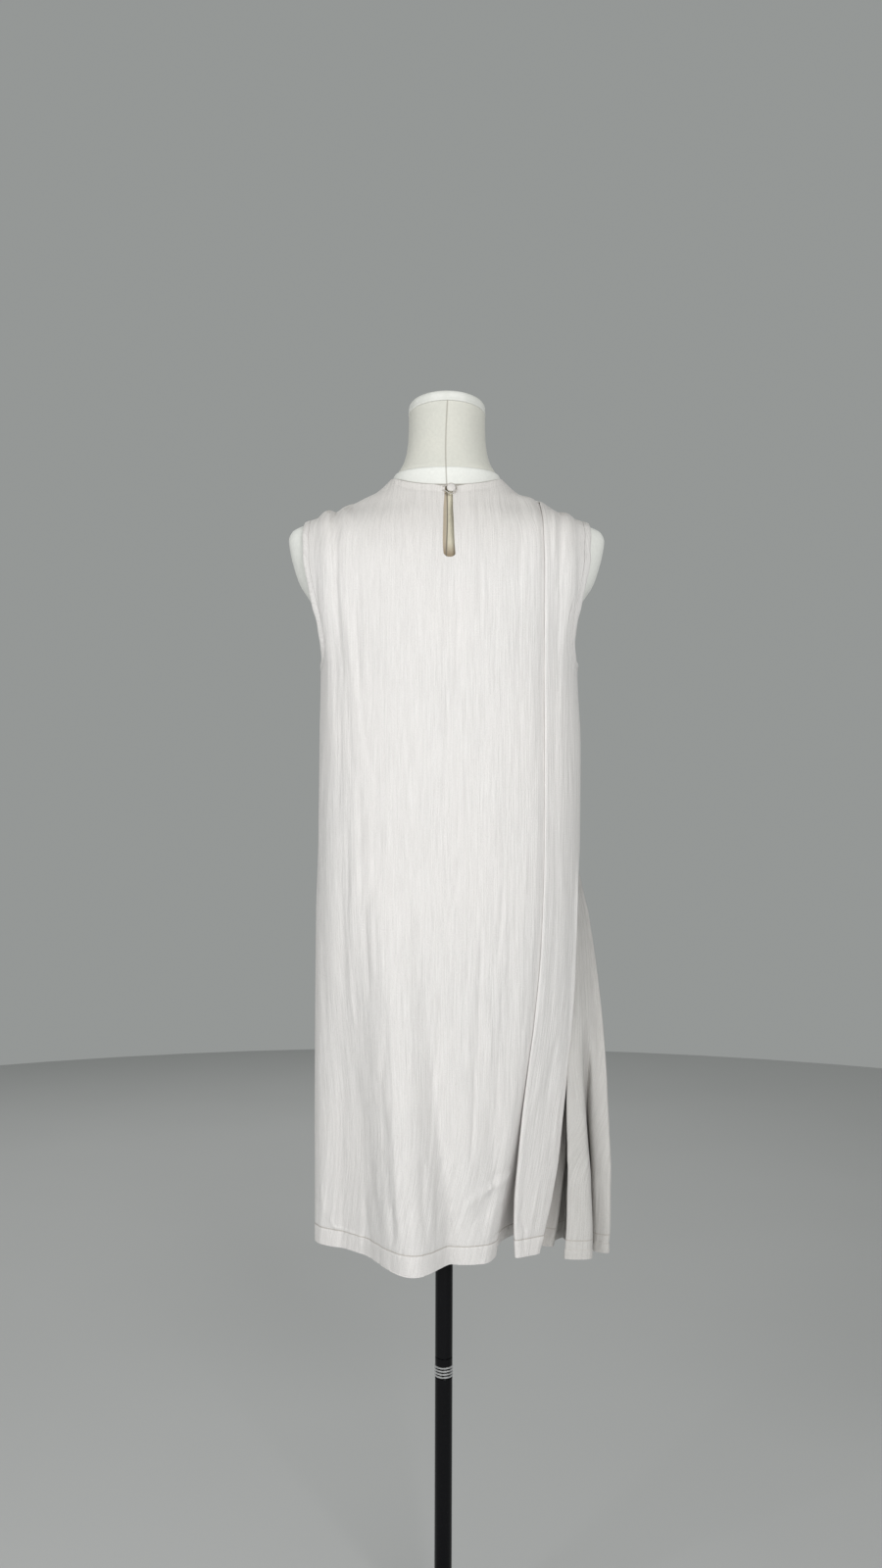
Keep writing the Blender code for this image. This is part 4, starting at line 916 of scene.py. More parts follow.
def insert_points(rows_z, back_edge, front_edge, per_span):
    """Mid-surface of the side insert between the two panels' turned-under edges."""
    hem = np.array(list(INSERT_PLEATS.values()))
    share = np.linspace(0.0, 1.0, len(hem) + 2)
    run = np.clip((INSERT_TOP_Z - rows_z) / (INSERT_TOP_Z - HEM_Z), 0.0, 1.0) ** INSERT_SPREAD
    line = back_edge[:, None, :] + (front_edge - back_edge)[:, None, :] * share[None, :, None]
    out = np.zeros((len(rows_z), len(share), 2))
    out[:, 1:-1] = (hem - line[0, 1:-1])[None] * run[:, None, None]
    bulge = INSERT_BULGE * np.sin(math.pi * share)[None, :] * (1.0 - run)[:, None]
    line = line + out
    line[:, :, 0] += bulge - 4.0 * (run * (1.0 - run))[:, None] * np.array(INSERT_DRAWN_IN)
    for first, last, apex_z in INSERT_VALLEYS:
        deep = ease((apex_z - rows_z) / INSERT_VALLEY_OVER)[:, None]
        for index in range(first + 1, last):
            part = (index - first) / (last - first)
            across = line[:, first] + (line[:, last] - line[:, first]) * part
            line[:, index] = across + (line[:, index] - across) * deep
    curve = spline(line, per_span)
    z = np.repeat(rows_z[:, None], curve.shape[1], axis=1)
    return np.concatenate([curve, z[:, :, None]], axis=2)


def panel_normals(middle, side, first_upper):
    """Normals of a panel, kept level with the seam plane where the panel meets a seam."""
    normal = outward(middle, side)
    for column in (0, -1):
        normal[first_upper:, column] = section_normal(middle[first_upper:, column], side)
    edge = np.zeros(middle.shape[:2], bool)
    edge[:, 0] = edge[:, -1] = edge[-1] = True
    edge &= np.abs(middle[:, :, 1] - seam_y(middle)) < SEAM_REACH
    normal[:, :, 1] = np.where(edge, 0.0, normal[:, :, 1])
    return normal / np.linalg.norm(normal, axis=2, keepdims=True)


def armhole_edge(points, end):
    """The panel's armhole points and normals, from underarm to shoulder tip."""
    rows, normals, start = points
    column = 0 if end < 0 else -1
    return rows[start:, column], normals[start:, column]


def back_surface_y(x, z):
    """Outer face of the back panel at x and z, carried across the slit."""
    stretch = math.sqrt(1.0 + section_slope(x, z, BACK) ** 2)
    return section_y(x, z, BACK) - (fold_height(x, z, BACK_FOLDS) + 0.5 * WALL) * stretch


def lattice(u, v, seed):
    """Smooth unevenness between -1 and 1 that changes about once a unit."""
    heights = np.random.default_rng(seed).uniform(-1.0, 1.0, (LATTICE, LATTICE))
    i, j = np.floor(u).astype(int), np.floor(v).astype(int)
    s, t = ease(u - i), ease(v - j)
    left, right = i % LATTICE, (i + 1) % LATTICE
    under, over = j % LATTICE, (j + 1) % LATTICE
    low = heights[left, under] * (1 - s) + heights[right, under] * s
    high = heights[left, over] * (1 - s) + heights[right, over] * s
    return low * (1 - t) + high * t


def crinkle(across, z, seed):
    """Fine uneven crinkles down the cloth."""
    wander = WANDER * lattice(across / WANDER_ACROSS, z / WANDER_DOWN, seed)
    total = np.zeros(across.shape)
    for index, (spacing, length, stray, height) in enumerate(CRINKLES):
        total += height * lattice((across + stray * wander) / spacing, z / length, seed + 1 + index)
    return total


def mound(away, height, width):
    """A soft ridge over a distance, or a soft trough where the height is below zero."""
    return height * np.exp(-((away / width) ** 2))


def crease_height(x, z, creases):
    """Height of the creases that run down the cloth."""
    total = np.zeros(x.shape)
    for row in creases:
        crease = {name: MM * value for name, value in zip(CREASE_COLUMNS, row)}
        run = (crease["top_z"] - z) / (crease["top_z"] - crease["low_z"])
        centre = (
            crease["top_x"] * (1.0 - 3.0 * run + 2.0 * run * run)
            + crease["mid_x"] * (4.0 * run - 4.0 * run * run)
            + crease["low_x"] * (2.0 * run * run - run)
        )
        length = ease(run / CREASE_END) * ease((1.0 - run) / CREASE_END)
        total += mound(x - centre, crease["height"] * length, crease["width"])
    return total


def crumple_height(x, z, crumples):
    """Height of the short creases that run across the cloth."""
    total = np.zeros(x.shape)
    for row in crumples:
        x0, z0, x1, z1, height, width = [MM * value for value in row]
        length = math.hypot(x1 - x0, z1 - z0)
        along = ((x - x0) * (x1 - x0) + (z - z0) * (z1 - z0)) / length
        aside = ((z - z0) * (x1 - x0) - (x - x0) * (z1 - z0)) / length
        past = np.maximum(np.maximum(-along, along - length), 0.0)
        away = (aside / width) ** 2 + (past / (1.4 * width)) ** 2
        total += height * np.exp(-away)
    return total


def run_across(points):
    """Length of cloth along each row, from its left edge."""
    steps = np.linalg.norm(np.diff(points[:, :, :2], axis=1), axis=2)
    return np.concatenate([np.zeros((len(points), 1)), np.cumsum(steps, axis=1)], axis=1)


def run_from_middle(points, across):
    """Length of cloth along each row, from where it passes the centre line."""
    left_part = points[:, :MIDDLE_COLUMNS, 0], across[:, :MIDDLE_COLUMNS]
    middle = [np.interp(0.0, row_x, row_run) for row_x, row_run in zip(*left_part)]
    return across - np.array(middle)[:, None]


def hem_height(across, z, depth, seed):
    """The turned hem stands proud below its row of stitches, which draw the cloth in and pucker it."""
    above = z - (HEM_Z + depth)
    turned_up = HEM_PROUD * ease(-above / HEM_PROUD_OVER + 0.5)
    groove = mound(above, -GROOVE_DEPTH, GROOVE_WIDTH)
    uneven = PUCKER_HEIGHT * lattice(across / PUCKER_SPACING, z * 0.0, seed)
    return turned_up + groove + mound(above, uneven, PUCKER_REACH)


def slit_edges(z):
    """x of the slit's left and right edges at a height."""
    down = np.clip((NECK_BACK_Z - z) / (NECK_BACK_Z - SLIT_BOTTOM_Z), 0.0, 1.0)
    return [top + (low - top) * down for top, low in zip(SLIT_TOP_X, SLIT_LOW_X)]


def faced_edges(x, z, side):
    """The neckline and the slit: a soft roll at the edge and a sunk line where the facing is held."""
    below = top_z(x, side) - z
    inside = ease((NECK_SIDE_X + 0.002 - np.abs(x)) / 0.006)
    total = (mound(below, *NECK_ROLL) + mound(below - NECK_SUNK_AT, *NECK_SUNK)) * inside
    if side == BACK:
        left, right = slit_edges(z)
        beside = np.maximum(np.maximum(left - x, x - right), 0.0)
        under = np.maximum(SLIT_BOTTOM_Z - SLIT_ROUND - z, 0.0)
        away = np.hypot(beside, under)
        total += mound(away, *SLIT_ROLL)
        total -= mound(away - SLIT_SUNK_AT, *SLIT_SUNK) * (z > SLIT_BOTTOM_Z - SLIT_SUNK_BELOW)
    return total


def hold_at_seams(points, across):
    """0 on the side and shoulder seams, 1 clear of them."""
    x, z = points[:, :, 0], points[:, :, 2]
    left = ease(across / SEAM_HOLD)
    right = ease((across[:, -1:] - across) / SEAM_HOLD)
    top = ease((z[-1:] - z) / SHOULDER_HOLD)
    return left * right * np.where(np.abs(x) < NECK_SIDE_X, 1.0, top)


def creased(points, side, creases, crumples, seed, calm=None, band_from=None):
    """The finished mid-surface of a panel, its cloth run for the weave, and its thickness."""
    x, z = points[:, :, 0], points[:, :, 2]
    across = run_across(points)
    run = run_from_middle(points, across)
    if band_from is not None:
        run[:, band_from:] = BAND_RUN + across[:, band_from:] - across[:, band_from, None]
    height = crinkle(run, z, seed) + CREASE_STRENGTH * crease_height(x, z, creases)
    height += CRUMPLE_STRENGTH * crumple_height(x, z, crumples) + hem_height(run, z, HEM_DEPTH, seed + 5)
    close = ease((z - CLOSE_FROM_Z) / CLOSE_OVER)
    height = np.where(height < 0, height * (1.0 - CLOSE_SHARE * close), height)
    if calm is not None:
        height = height * calm
    height = (height + faced_edges(x, z, side)) * hold_at_seams(points, across)
    out = points + outward(points, side) * height[:, :, None]
    return out, np.stack([run, z], axis=2), shell_thickness(z, HEM_DEPTH)


def shell_thickness(z, hem_depth):
    """The cloth's thickness at a height, a little more where the hem is turned up."""
    return SHELL + HEM_SHELL * ease((HEM_Z + hem_depth - z) / HEM_SHELL_OVER)


def fine_rows():
    """Row heights of the panels: close at the hem, the underarm and the neckline."""
    hem = np.arange(HEM_Z, HEM_Z + HEM_DEPTH + HEM_ROWS_ABOVE, HEM_ROW_STEP)
    count = round((UNDERARM_Z - hem[-1]) / ROW_STEP)
    lower = np.concatenate([hem, np.linspace(hem[-1], UNDERARM_Z, count + 1)[1:-1]])
    slit = (SLIT_BOTTOM_Z - UNDERARM_Z) / (NECK_BACK_Z - UNDERARM_Z)
    rise = np.concatenate(
        [
            UNDERARM_RISES,
            np.linspace(BELOW_SLIT_FROM, slit, BELOW_SLIT_ROWS),
            np.linspace(slit, NECKLINE_FROM, BESIDE_SLIT_ROWS)[1:],
            np.linspace(NECKLINE_FROM, 1.0, NECKLINE_ROWS)[1:],
        ]
    )
    upper = 2.0 / math.pi * np.arcsin(rise)
    slit_row = len(lower) + len(UNDERARM_RISES) + BELOW_SLIT_ROWS - 1
    return lower, upper, slit_row


def round_slit(points, slit_row, first, last):
    """Pull the rows at the slit's bottom down into a round end."""
    x = points[slit_row, :, 0]
    middle = 0.5 * (x[first] + x[last])
    half = 0.5 * (x[last] - x[first])
    bow = np.sqrt(np.clip(1.0 - ((x - middle) / half) ** 2, 0.0, 1.0))
    below = np.clip(points[slit_row, :, 2][None, :] - points[: slit_row + 1, :, 2], 0.0, None)
    points[: slit_row + 1, :, 2] -= SLIT_ROUND * bow[None, :] * np.exp(-below / SLIT_ROUND_REACH)


def new_piece(name, points, faces, finish):
    mesh = bpy.data.meshes.new(name)
    mesh.from_pydata([tuple(p) for p in points], [], faces)
    mesh.materials.append(finish)
    mesh.shade_smooth()
    mesh.set_sharp_from_angle(angle=SHARP_FROM)
    piece = bpy.data.objects.new(name, mesh)
    bpy.context.scene.collection.objects.link(piece)
    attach(piece, "root")
    return piece


def give_run(piece, run):
    """Store each point's place along the cloth, for the weave."""
    layer = piece.data.attributes.new("cloth_run", "FLOAT_VECTOR", "POINT")
    layer.data.foreach_set("vector", np.asarray(run, np.float32).ravel())


def cloth_shell(name, middle, normal, run, thickness, finish, dropped=(), flip=False):
    """A thin closed shell on both sides of a grid of middle points."""
    rows, columns = middle.shape[:2]
    half = 0.5 * np.broadcast_to(thickness, middle.shape[:2])[:, :, None]
    outer = (middle + normal * half).reshape(-1, 3)
    inner = (middle - normal * half).reshape(-1, 3)
    count = rows * columns
    quads = []
    for i in range(rows - 1):
        for j in range(columns - 1):
            if (i, j) not in dropped:
                a = i * columns + j
                quads.append((a, a + 1, a + columns + 1, a + columns))
    edges = set()
    for quad in quads:
        edges.update(zip(quad, quad[1:] + quad[:1]))
    faces = list(quads)
    faces += [tuple(count + v for v in reversed(quad)) for quad in quads]
    faces += [(b, a, count + a, count + b) for a, b in edges if (b, a) not in edges]
    if flip:
        faces = [tuple(reversed(face)) for face in faces]
    used = sorted({v for face in faces for v in face})
    place_of = {v: i for i, v in enumerate(used)}
    faces = [tuple(place_of[v] for v in face) for face in faces]
    points = np.concatenate([outer, inner])[used]
    piece = new_piece(name, points, faces, finish)
    flat_run = run.reshape(-1, 2)
    both = np.concatenate([flat_run, flat_run])[used]
    give_run(piece, np.concatenate([both, np.zeros((len(both), 1))], axis=1))
    return piece


def ring_faces(rings, count, closed_loop):
    faces = []
    spans = rings if closed_loop else rings - 1
    for i in range(spans):
        near, far = i * count, ((i + 1) % rings) * count
        for j in range(count):
            k = (j + 1) % count
            faces.append((near + j, near + k, far + k, far + j))
    if not closed_loop:
        faces.append(tuple(reversed(range(count))))
        faces.append(tuple(range((rings - 1) * count, rings * count)))
    return faces


def lofted(name, rings, finish, slot, closed_loop=False):
    """A solid through rings of equal length."""
    rings = np.asarray(rings, float)
    faces = ring_faces(len(rings), rings.shape[1], closed_loop)
    piece = new_piece(name, rings.reshape(-1, 3), faces, finish)
    if slot == "dress_cloth":
        points = rings.reshape(-1, 3)
        give_run(piece, np.stack([points[:, 0] + points[:, 1], points[:, 2], points[:, 1] * 0], axis=1))
    return piece


def along_row(middle, normal, thickness, z):
    """Points and normals on the outer face where the rows cross a height."""
    points, normals = [], []
    for j in range(middle.shape[1]):
        heights = middle[:, j, 2]
        i = int(np.clip(np.searchsorted(heights, z) - 1, 0, len(heights) - 2))
        t = (z - heights[i]) / (heights[i + 1] - heights[i])
        out = normal[i, j] * (1 - t) + normal[i + 1, j] * t
        at = middle[i, j] * (1 - t) + middle[i + 1, j] * t
        points.append(at + out * 0.5 * thickness)
        normals.append(out)
    return np.array(points), np.array(normals)


def stitched(name, line, normals, finish):
    """A row of short thread stitches that follows a line on the cloth."""
    steps = np.linalg.norm(np.diff(line, axis=0), axis=1)
    run = np.concatenate([[0.0], np.cumsum(steps)])
    count = int(run[-1] / STITCH_PITCH)
    points, faces = [], []
    profile = ((0.0, -0.6), (0.12, 0.75), (0.5, 1.0), (0.88, 0.75), (1.0, -0.6))
    for index in range(count):
        start = (index + 0.2) * STITCH_PITCH
        first = len(points)
        for share, high in profile:
            s = start + share * STITCH_LENGTH
            at = np.array([np.interp(s, run, line[:, k]) for k in range(3)])
            ahead = np.array([np.interp(s + 0.0004, run, line[:, k]) for k in range(3)])
            out = np.array([np.interp(s, run, normals[:, k]) for k in range(3)])
            way = (ahead - at) / max(np.linalg.norm(ahead - at), 1e-9)
            side = np.cross(way, out)
            centre = at + out * STITCH_RADIUS * high * 0.6
            size = STITCH_RADIUS * (0.55 if high < 0 else 1.0)
            for k in range(STITCH_SIDES):
                angle = 2.0 * math.pi * k / STITCH_SIDES
                points.append(centre + size * (math.cos(angle) * side + math.sin(angle) * out))
        faces += [tuple(first + v for v in face) for face in ring_faces(len(profile), STITCH_SIDES, False)]
    piece = new_piece(name, points, faces, finish)
    give_run(piece, np.array(points))
    return piece


def dress_armhole(name, back, front, end, finish):
    """The narrow strip sewn round the armhole, a little puckered along its stitches."""
    back_edge, back_normal = armhole_edge(back, end)
    front_edge, front_normal = armhole_edge(front, end)
    loop = np.concatenate([back_edge[::-1], front_edge[1:-1]])
    normal = np.concatenate([back_normal[::-1], front_normal[1:-1]])
    along = np.roll(loop, -1, axis=0) - np.roll(loop, 1, axis=0)
    along /= np.linalg.norm(along, axis=1, keepdims=True)
    normal -= along * (normal * along).sum(axis=1, keepdims=True)
    normal /= np.linalg.norm(normal, axis=1, keepdims=True)
    inward = np.cross(along, normal)
    centre = loop.mean(axis=0)
    inward *= np.sign(((centre - loop) * inward).sum(axis=1, keepdims=True))
    run = np.concatenate([[0.0], np.cumsum(np.linalg.norm(np.diff(loop, axis=0), axis=1))])
    pucker_seed, wave_seed = STRIP_SEEDS[end]
    pucker = lattice(run / STRIP_PUCKER, run * 0.0, pucker_seed)
    wave = lattice(run / STRIP_WAVE, run * 0.0, wave_seed)
    half = 0.5 * BINDING_WALL
    near, far = BINDING_GAP, BINDING_GAP + BINDING_WIDTH
    outline = (
        (near, -0.5 * half), (near, 0.5 * half), (near + 0.0007, half), (near + 0.0018, 0.55 * half),
        (near + 0.0035, 1.15 * half), (near + 0.0060, 1.05 * half), (far - 0.0016, 0.9 * half),
        (far - 0.0005, 0.5 * half), (far, 0.0), (far - 0.0005, -0.5 * half),
        (far - 0.0016, -0.9 * half), (near + 0.0040, -half), (near + 0.0010, -0.9 * half),
    )
    rings = []
    for i in range(len(loop)):
        ring = []
        for off, up in outline:
            share = (off - near) / BINDING_WIDTH
            lift_by = STRIP_PUCKER_HEIGHT * pucker[i] * (1.0 - share) + STRIP_WAVE_HEIGHT * wave[i] * share
            reach = off + STRIP_WAVE_REACH * wave[i] * share
            ring.append(loop[i] + inward[i] * reach + normal[i] * (up + lift_by))
        rings.append(ring)
    return lofted(name, rings, finish, "dress_cloth", closed_loop=True)


def dress_button(finish):
    """A small dome covered in the dress's cloth, drawn in under its rim."""
    lean = math.atan(section_slope(BUTTON_X, BUTTON_Z, BACK))
    seat_y = back_surface_y(BUTTON_X, BUTTON_Z)
    profile = (
        (0.30, 0.0006), (0.55, 0.0009), (0.86, 0.0012), (0.97, 0.0017), (1.00, 0.0024), (0.985, 0.0030),
        (0.93, 0.0036), (0.83, 0.0041), (0.68, 0.0045), (0.48, 0.0048), (0.26, 0.0050), (0.06, 0.0051),
    )
    rings = []
    for share, out in profile:
        ring = []
        for k in range(BUTTON_SEGMENTS):
            angle = 2.0 * math.pi * k / BUTTON_SEGMENTS
            gather = BUTTON_GATHER_DEPTH * math.sin(BUTTON_GATHERS * angle + 0.7) * ease(1.3 - out / 0.003)
            radius = BUTTON_RADIUS * share * (1.0 + gather)
            up = radius * math.sin(angle)
            ring.append(
                (
                    BUTTON_X + radius * math.cos(angle),
                    seat_y - out * math.cos(lean) + up * math.sin(lean),
                    BUTTON_Z + up * math.cos(lean) + out * math.sin(lean),
                )
            )
        rings.append(ring)
    return lofted("covered_button", rings, finish, "dress_cloth")


def dress_loop(finish):
    """The thin cord loop that holds the button."""
    end_x, end_up = LOOP_END
    path = [(end_x, end_up)]
    for step in range(LOOP_STEPS + 1):
        angle = math.radians(LOOP_FROM - LOOP_SWEEP * step / LOOP_STEPS)
        path.append((BUTTON_X + LOOP_RADIUS * math.cos(angle), LOOP_RADIUS * math.sin(angle)))
    path.append((end_x, -end_up))
    rings = []
    for i, (x, up) in enumerate(path):
        ahead = path[min(i + 1, len(path) - 1)]
        behind = path[max(i - 1, 0)]
        along_x, along_up = ahead[0] - behind[0], ahead[1] - behind[1]
        length = math.hypot(along_x, along_up)
        ring = []
        for k in range(CORD_SEGMENTS):
            angle = 2.0 * math.pi * k / CORD_SEGMENTS
            size = LOOP_CORD * (1.0 + CORD_UNEVEN * math.cos(2.0 * (angle + CORD_TWIST * i)))
            off, out = size * math.cos(angle), size * math.sin(angle)
            cord_x = x + off * along_up / length
            cord_z = BUTTON_Z + up - off * along_x / length
            stretch = math.sqrt(1.0 + section_slope(x, BUTTON_Z + up, BACK) ** 2)
            seat_y = back_surface_y(cord_x, cord_z)
            ring.append((cord_x, seat_y - (LOOP_LIFT + out) * stretch, cord_z))
        rings.append(ring)
    return lofted("loop_cord", rings, finish, "dress_cloth")


def form_outline(z, angle):
    """A point of the form's cover at a height and an angle round it."""
    power = 2.0 / FORM("power", z)
    c, s = np.cos(angle), np.sin(angle)
    depth = np.where(s > 0, FORM("front", z), FORM("back", z))
    x = FORM("half", z) * np.sign(c) * np.abs(c) ** power
    y = depth * np.sign(s) * np.abs(s) ** power + NECK_LEAN * ease((z - NECK_LEAN_FROM_Z) / NECK_LEAN_OVER)
    return x, y


def dress_form_cover(finish):
    """The padded torso and neck in their jersey cover, with the centre back seam and the collar lip."""
    top = FORM_SECTIONS[-1][0]
    heights = np.concatenate(
        [
            [FORM_SECTIONS[0][0]],
            np.linspace(FORM_SECTIONS[0][0] + 0.004, 1.380, 80),
            np.linspace(1.384, COLLAR_Z - 0.0050, 44),
            COLLAR_Z + np.array(COLLAR_ROWS),
            np.linspace(COLLAR_Z + 0.0050, top, 24),
        ]
    )
    angle = 2.0 * math.pi * np.arange(FORM_SEGMENTS) / FORM_SEGMENTS
    angle = angle - 0.10 * np.sin(2.0 * angle)
    rings = []
    for z in heights:
        x, y = form_outline(z, angle)
        grow = COLLAR_LIP * ease((COLLAR_Z + 0.0004 - z) / 0.0016) * ease((z - COLLAR_Z + 0.030) / 0.028)
        grow -= 0.0012 * math.exp(-(((z - COLLAR_Z - 0.0014) / 0.0012) ** 2))
        outside = np.stack([x / FORM("half", z), y / FORM("back", z)], axis=1)
        outside /= np.linalg.norm(outside, axis=1, keepdims=True)
        move = grow - mound(x - centre_seam_x(z), FORM_SEAM_DEPTH, FORM_SEAM_WIDTH) * (y < 0)
        ring = [x + outside[:, 0] * move, y + outside[:, 1] * move, np.full(FORM_SEGMENTS, z)]
        rings.append(np.stack(ring, axis=1))
    x, y = rings[-1][:, 0], rings[-1][:, 1]
    drop = (y - NECK_LEAN) * math.tan(CAP_TILT) + (0.5 * CAP_BAND + SEAM) / math.cos(CAP_TILT)
    rings.append(np.stack([x, y, CAP_Z - drop], axis=1))
    return lofted("form_cover", rings, finish, "form_jersey")


def centre_seam_x(z):
    """The cover's centre back seam, which wanders a little."""
    sway = FORM_SEAM_SWAY * math.sin((z - FORM_SEAM_SWAY_Z) * FORM_SEAM_TURN)
    return sway - FORM_SEAM_OFF + FORM_SEAM_DRIFT * max(z - FORM_SEAM_DRIFT_Z, 0.0)


def dress_cap(finish):
    """The padded band that caps the neck, tilted down towards the front."""
    half = 0.5 * CAP_BAND
    profile = (
        (CAP_RADIUS - 0.0030, -half), (CAP_RADIUS - 0.0008, -half), (CAP_RADIUS, -half + 0.0006),
        (CAP_RADIUS + 0.0001, -half + 0.0015), (CAP_RADIUS - 0.0004, -half + 0.0026),
        (CAP_RADIUS - 0.0002, -half + 0.0050), (CAP_RADIUS - 0.0003, half - 0.0060),
        (CAP_RADIUS - 0.0008, half - 0.0035), (CAP_RADIUS - 0.0020, half - 0.0015),
        (CAP_RADIUS - 0.0040, half - 0.0002), (CAP_RADIUS - 0.0075, half + 0.0009),
        (CAP_RADIUS * 0.65, half + 0.0020), (CAP_RADIUS * 0.3, half + 0.0026),
        (CAP_RADIUS * 0.05, half + 0.0027),
    )
    rings = []
    for radius, up in profile:
        angle = 2.0 * math.pi * np.arange(CAP_SEGMENTS) / CAP_SEGMENTS
        x, y = radius * np.cos(angle), radius * np.sin(angle)
        rings.append(
            np.stack(
                [
                    x,
                    NECK_LEAN + y * math.cos(CAP_TILT) + up * math.sin(CAP_TILT),
                    CAP_Z - y * math.sin(CAP_TILT) + up * math.cos(CAP_TILT),
                ],
                axis=1,
            )
        )
    return lofted("neck_cap_cover", rings, finish, "form_cap")


class Socket:
    """A shader socket that takes part in sums. Numbers go through Math nodes."""

    def __init__(self, finish, socket):
        self.finish = finish
        self.socket = socket

    def sum(self, operation, *values):
        return self.finish.node("ShaderNodeMath", {"operation": operation}, dict(enumerate(values)))

    def __add__(self, other):
        return self.sum("ADD", self, other)

    def __sub__(self, other):
        return self.sum("SUBTRACT", self, other)

    def __mul__(self, other):
        return self.sum("MULTIPLY", self, other)

    def __truediv__(self, other):
        return self.sum("DIVIDE", self, other)

    def __pow__(self, other):
        return self.sum("POWER", self, other)

    def __radd__(self, other):
        return self.sum("ADD", other, self)

    def __rsub__(self, other):
        return self.sum("SUBTRACT", other, self)

    def __rmul__(self, other):
        return self.sum("MULTIPLY", other, self)

    def bigger(self, other):
        return self.sum("MAXIMUM", self, other)

    def size(self):
        return self.sum("ABSOLUTE", self)

    def between(self, low, high):
        """0 below low, 1 above high, and a soft step between."""
        values = {"Value": self, "From Min": low, "From Max": high}
        return self.finish.node("ShaderNodeMapRange", {"interpolation_type": "SMOOTHSTEP"}, values)


class Finish:
    """A material built from expressions."""

    def __init__(self, name):
        self.material = bpy.data.materials.new(name)
        self.material.use_nodes = True
        self.tree = self.material.node_tree
        self.surface = self.tree.nodes["Principled BSDF"]

    def node(self, kind, settings=None, values=None, output=0):
        made = self.tree.nodes.new(kind)
        for name, setting in (settings or {}).items():
            setattr(made, name, setting)
        for name, value in (values or {}).items():
            self.give(made.inputs[name], value)
        return Socket(self, made.outputs[output])

    def give(self, target, value):
        if isinstance(value, Socket):
            self.tree.links.new(value.socket, target)
        else:
            target.default_value = value

    def place(self):
        """The point's place in the piece's own metres."""
        return self.node("ShaderNodeTexCoord", None, None, 3)

    def stretch(self, vector, scale):
        """The vector with each axis multiplied by its scale."""
        values = {0: vector, 1: scale}
        return self.node("ShaderNodeVectorMath", {"operation": "MULTIPLY"}, values)

    def noise(self, vector, scale, detail=2.0):
        """Unevenness between 0 and 1, scale times a metre along each axis."""
        values = {"Vector": self.stretch(vector, scale), "Scale": 1.0, "Detail": detail}
        return self.node("ShaderNodeTexNoise", None, values)

    def bands(self, vector, direction, scale):
        """Slightly wavering bands, as of threads."""
        values = {"Vector": vector, "Scale": scale, "Distortion": 1.4}
        return self.node("ShaderNodeTexWave", {"bands_direction": direction}, values)

    def mix(self, mask, first, second):
        values = {0: mask, 6: first, 7: second}
        return self.node("ShaderNodeMix", {"data_type": "RGBA"}, values, 2)

    def shade(self, colour, amount):
        """The colour times a number."""
        values = {0: 1.0, 6: colour, 7: self.grey(amount)}
        return self.node("ShaderNodeMix", {"data_type": "RGBA", "blend_type": "MULTIPLY"}, values, 2)

    def grey(self, amount):
        return self.node("ShaderNodeCombineColor", None, {0: amount, 1: amount, 2: amount})

    def axes(self, vector):
        made = self.tree.nodes.new("ShaderNodeSeparateXYZ")
        self.give(made.inputs[0], vector)
        return [Socket(self, output) for output in made.outputs]

    def bump(self, height, distance):
        return self.node("ShaderNodeBump", None, {"Height": height, "Distance": distance})

    def wear(self, colour=None, roughness=None, normal=None):
        for name, value in (("Base Color", colour), ("Roughness", roughness), ("Normal", normal)):
            if value is not None:
                self.give(self.surface.inputs[name], value)
        return self.material


def colour(red, green, blue):
    return (red, green, blue, 1.0)


def crinkled_cotton(name, light, deep, warm):
    """Off-white crinkled cloth: a fine weave, thread streaks down the cloth and soft uneven tone, with
    painted shade on the shoulders' crests, towards the shoulders and along the hem's stitch row.
    """
    finish = Finish(name)
    run = finish.node("ShaderNodeAttribute", {"attribute_name": "cloth_run"}, None, 1)
    where = finish.place()
    z = finish.axes(where)[2]
    streaks = finish.noise(run, (640.0, 20.0, 1.0), 3.0)
    folds = finish.noise(run, (150.0, 9.0, 1.0), 2.0)
    grain = finish.noise(run, (850.0, 620.0, 1.0), 2.0)
    cloudy = finish.noise(where, (7.0, 7.0, 5.0), 3.0)
    threads = finish.bands(run, "X", 330.0)
    picks = finish.bands(run, "Y", 300.0)
    weave = threads * 0.5 + picks * 0.5
    tone = finish.mix(streaks.between(0.30, 0.72), deep, light)
    tone = finish.mix(cloudy.between(0.35, 0.70) * 0.5, tone, warm)
    # Painted shade: up-facing crests at the top of the shoulders drawn dark brown, where the light falls
    # off over them.
    up = finish.axes(finish.node("ShaderNodeTexCoord", None, None, 1))[2]
    painted_crest_shade = up.between(0.84, 0.99) * z.between(1.37, 1.40)
    tone = finish.mix(painted_crest_shade * 0.40, tone, colour(0.40, 0.355, 0.30))
    hem = 1.0 - z.between(HEM_Z + HEM_DEPTH - 0.0006, HEM_Z + HEM_DEPTH + 0.0006)
    tone = finish.mix(hem * 0.35, tone, warm)
    # Painted shade: the cloth drawn darker and warmer towards the shoulders, where it tilts up away from
    # the light.
    tone = finish.mix(z.between(1.33, 1.45) * 0.26, tone, colour(0.62, 0.57, 0.51))
    # Painted shade: a dark line along the hem's stitch row, standing in for the shade in the stitched
    # groove.
    painted_stitch_shade = 1.0 - (z - (HEM_Z + HEM_DEPTH)).size().between(0.0003, 0.0012)
    tone = finish.mix(painted_stitch_shade * (0.25 + 0.35 * streaks), tone, colour(0.36, 0.32, 0.27))
    tone = finish.shade(tone, grain * 0.22 + folds * 0.07 + weave * 0.06 + 0.83)
    finish.surface.inputs["Sheen Weight"].default_value = 0.12
    finish.surface.inputs["Sheen Roughness"].default_value = 0.45
    finish.surface.inputs["Specular IOR Level"].default_value = 0.25
    rough = grain * 0.10 + 0.80
    height = streaks * 0.65 + folds * 0.9 + grain * 0.42 + weave * 0.20
    return finish.wear(tone, rough, finish.bump(height, 0.0012))


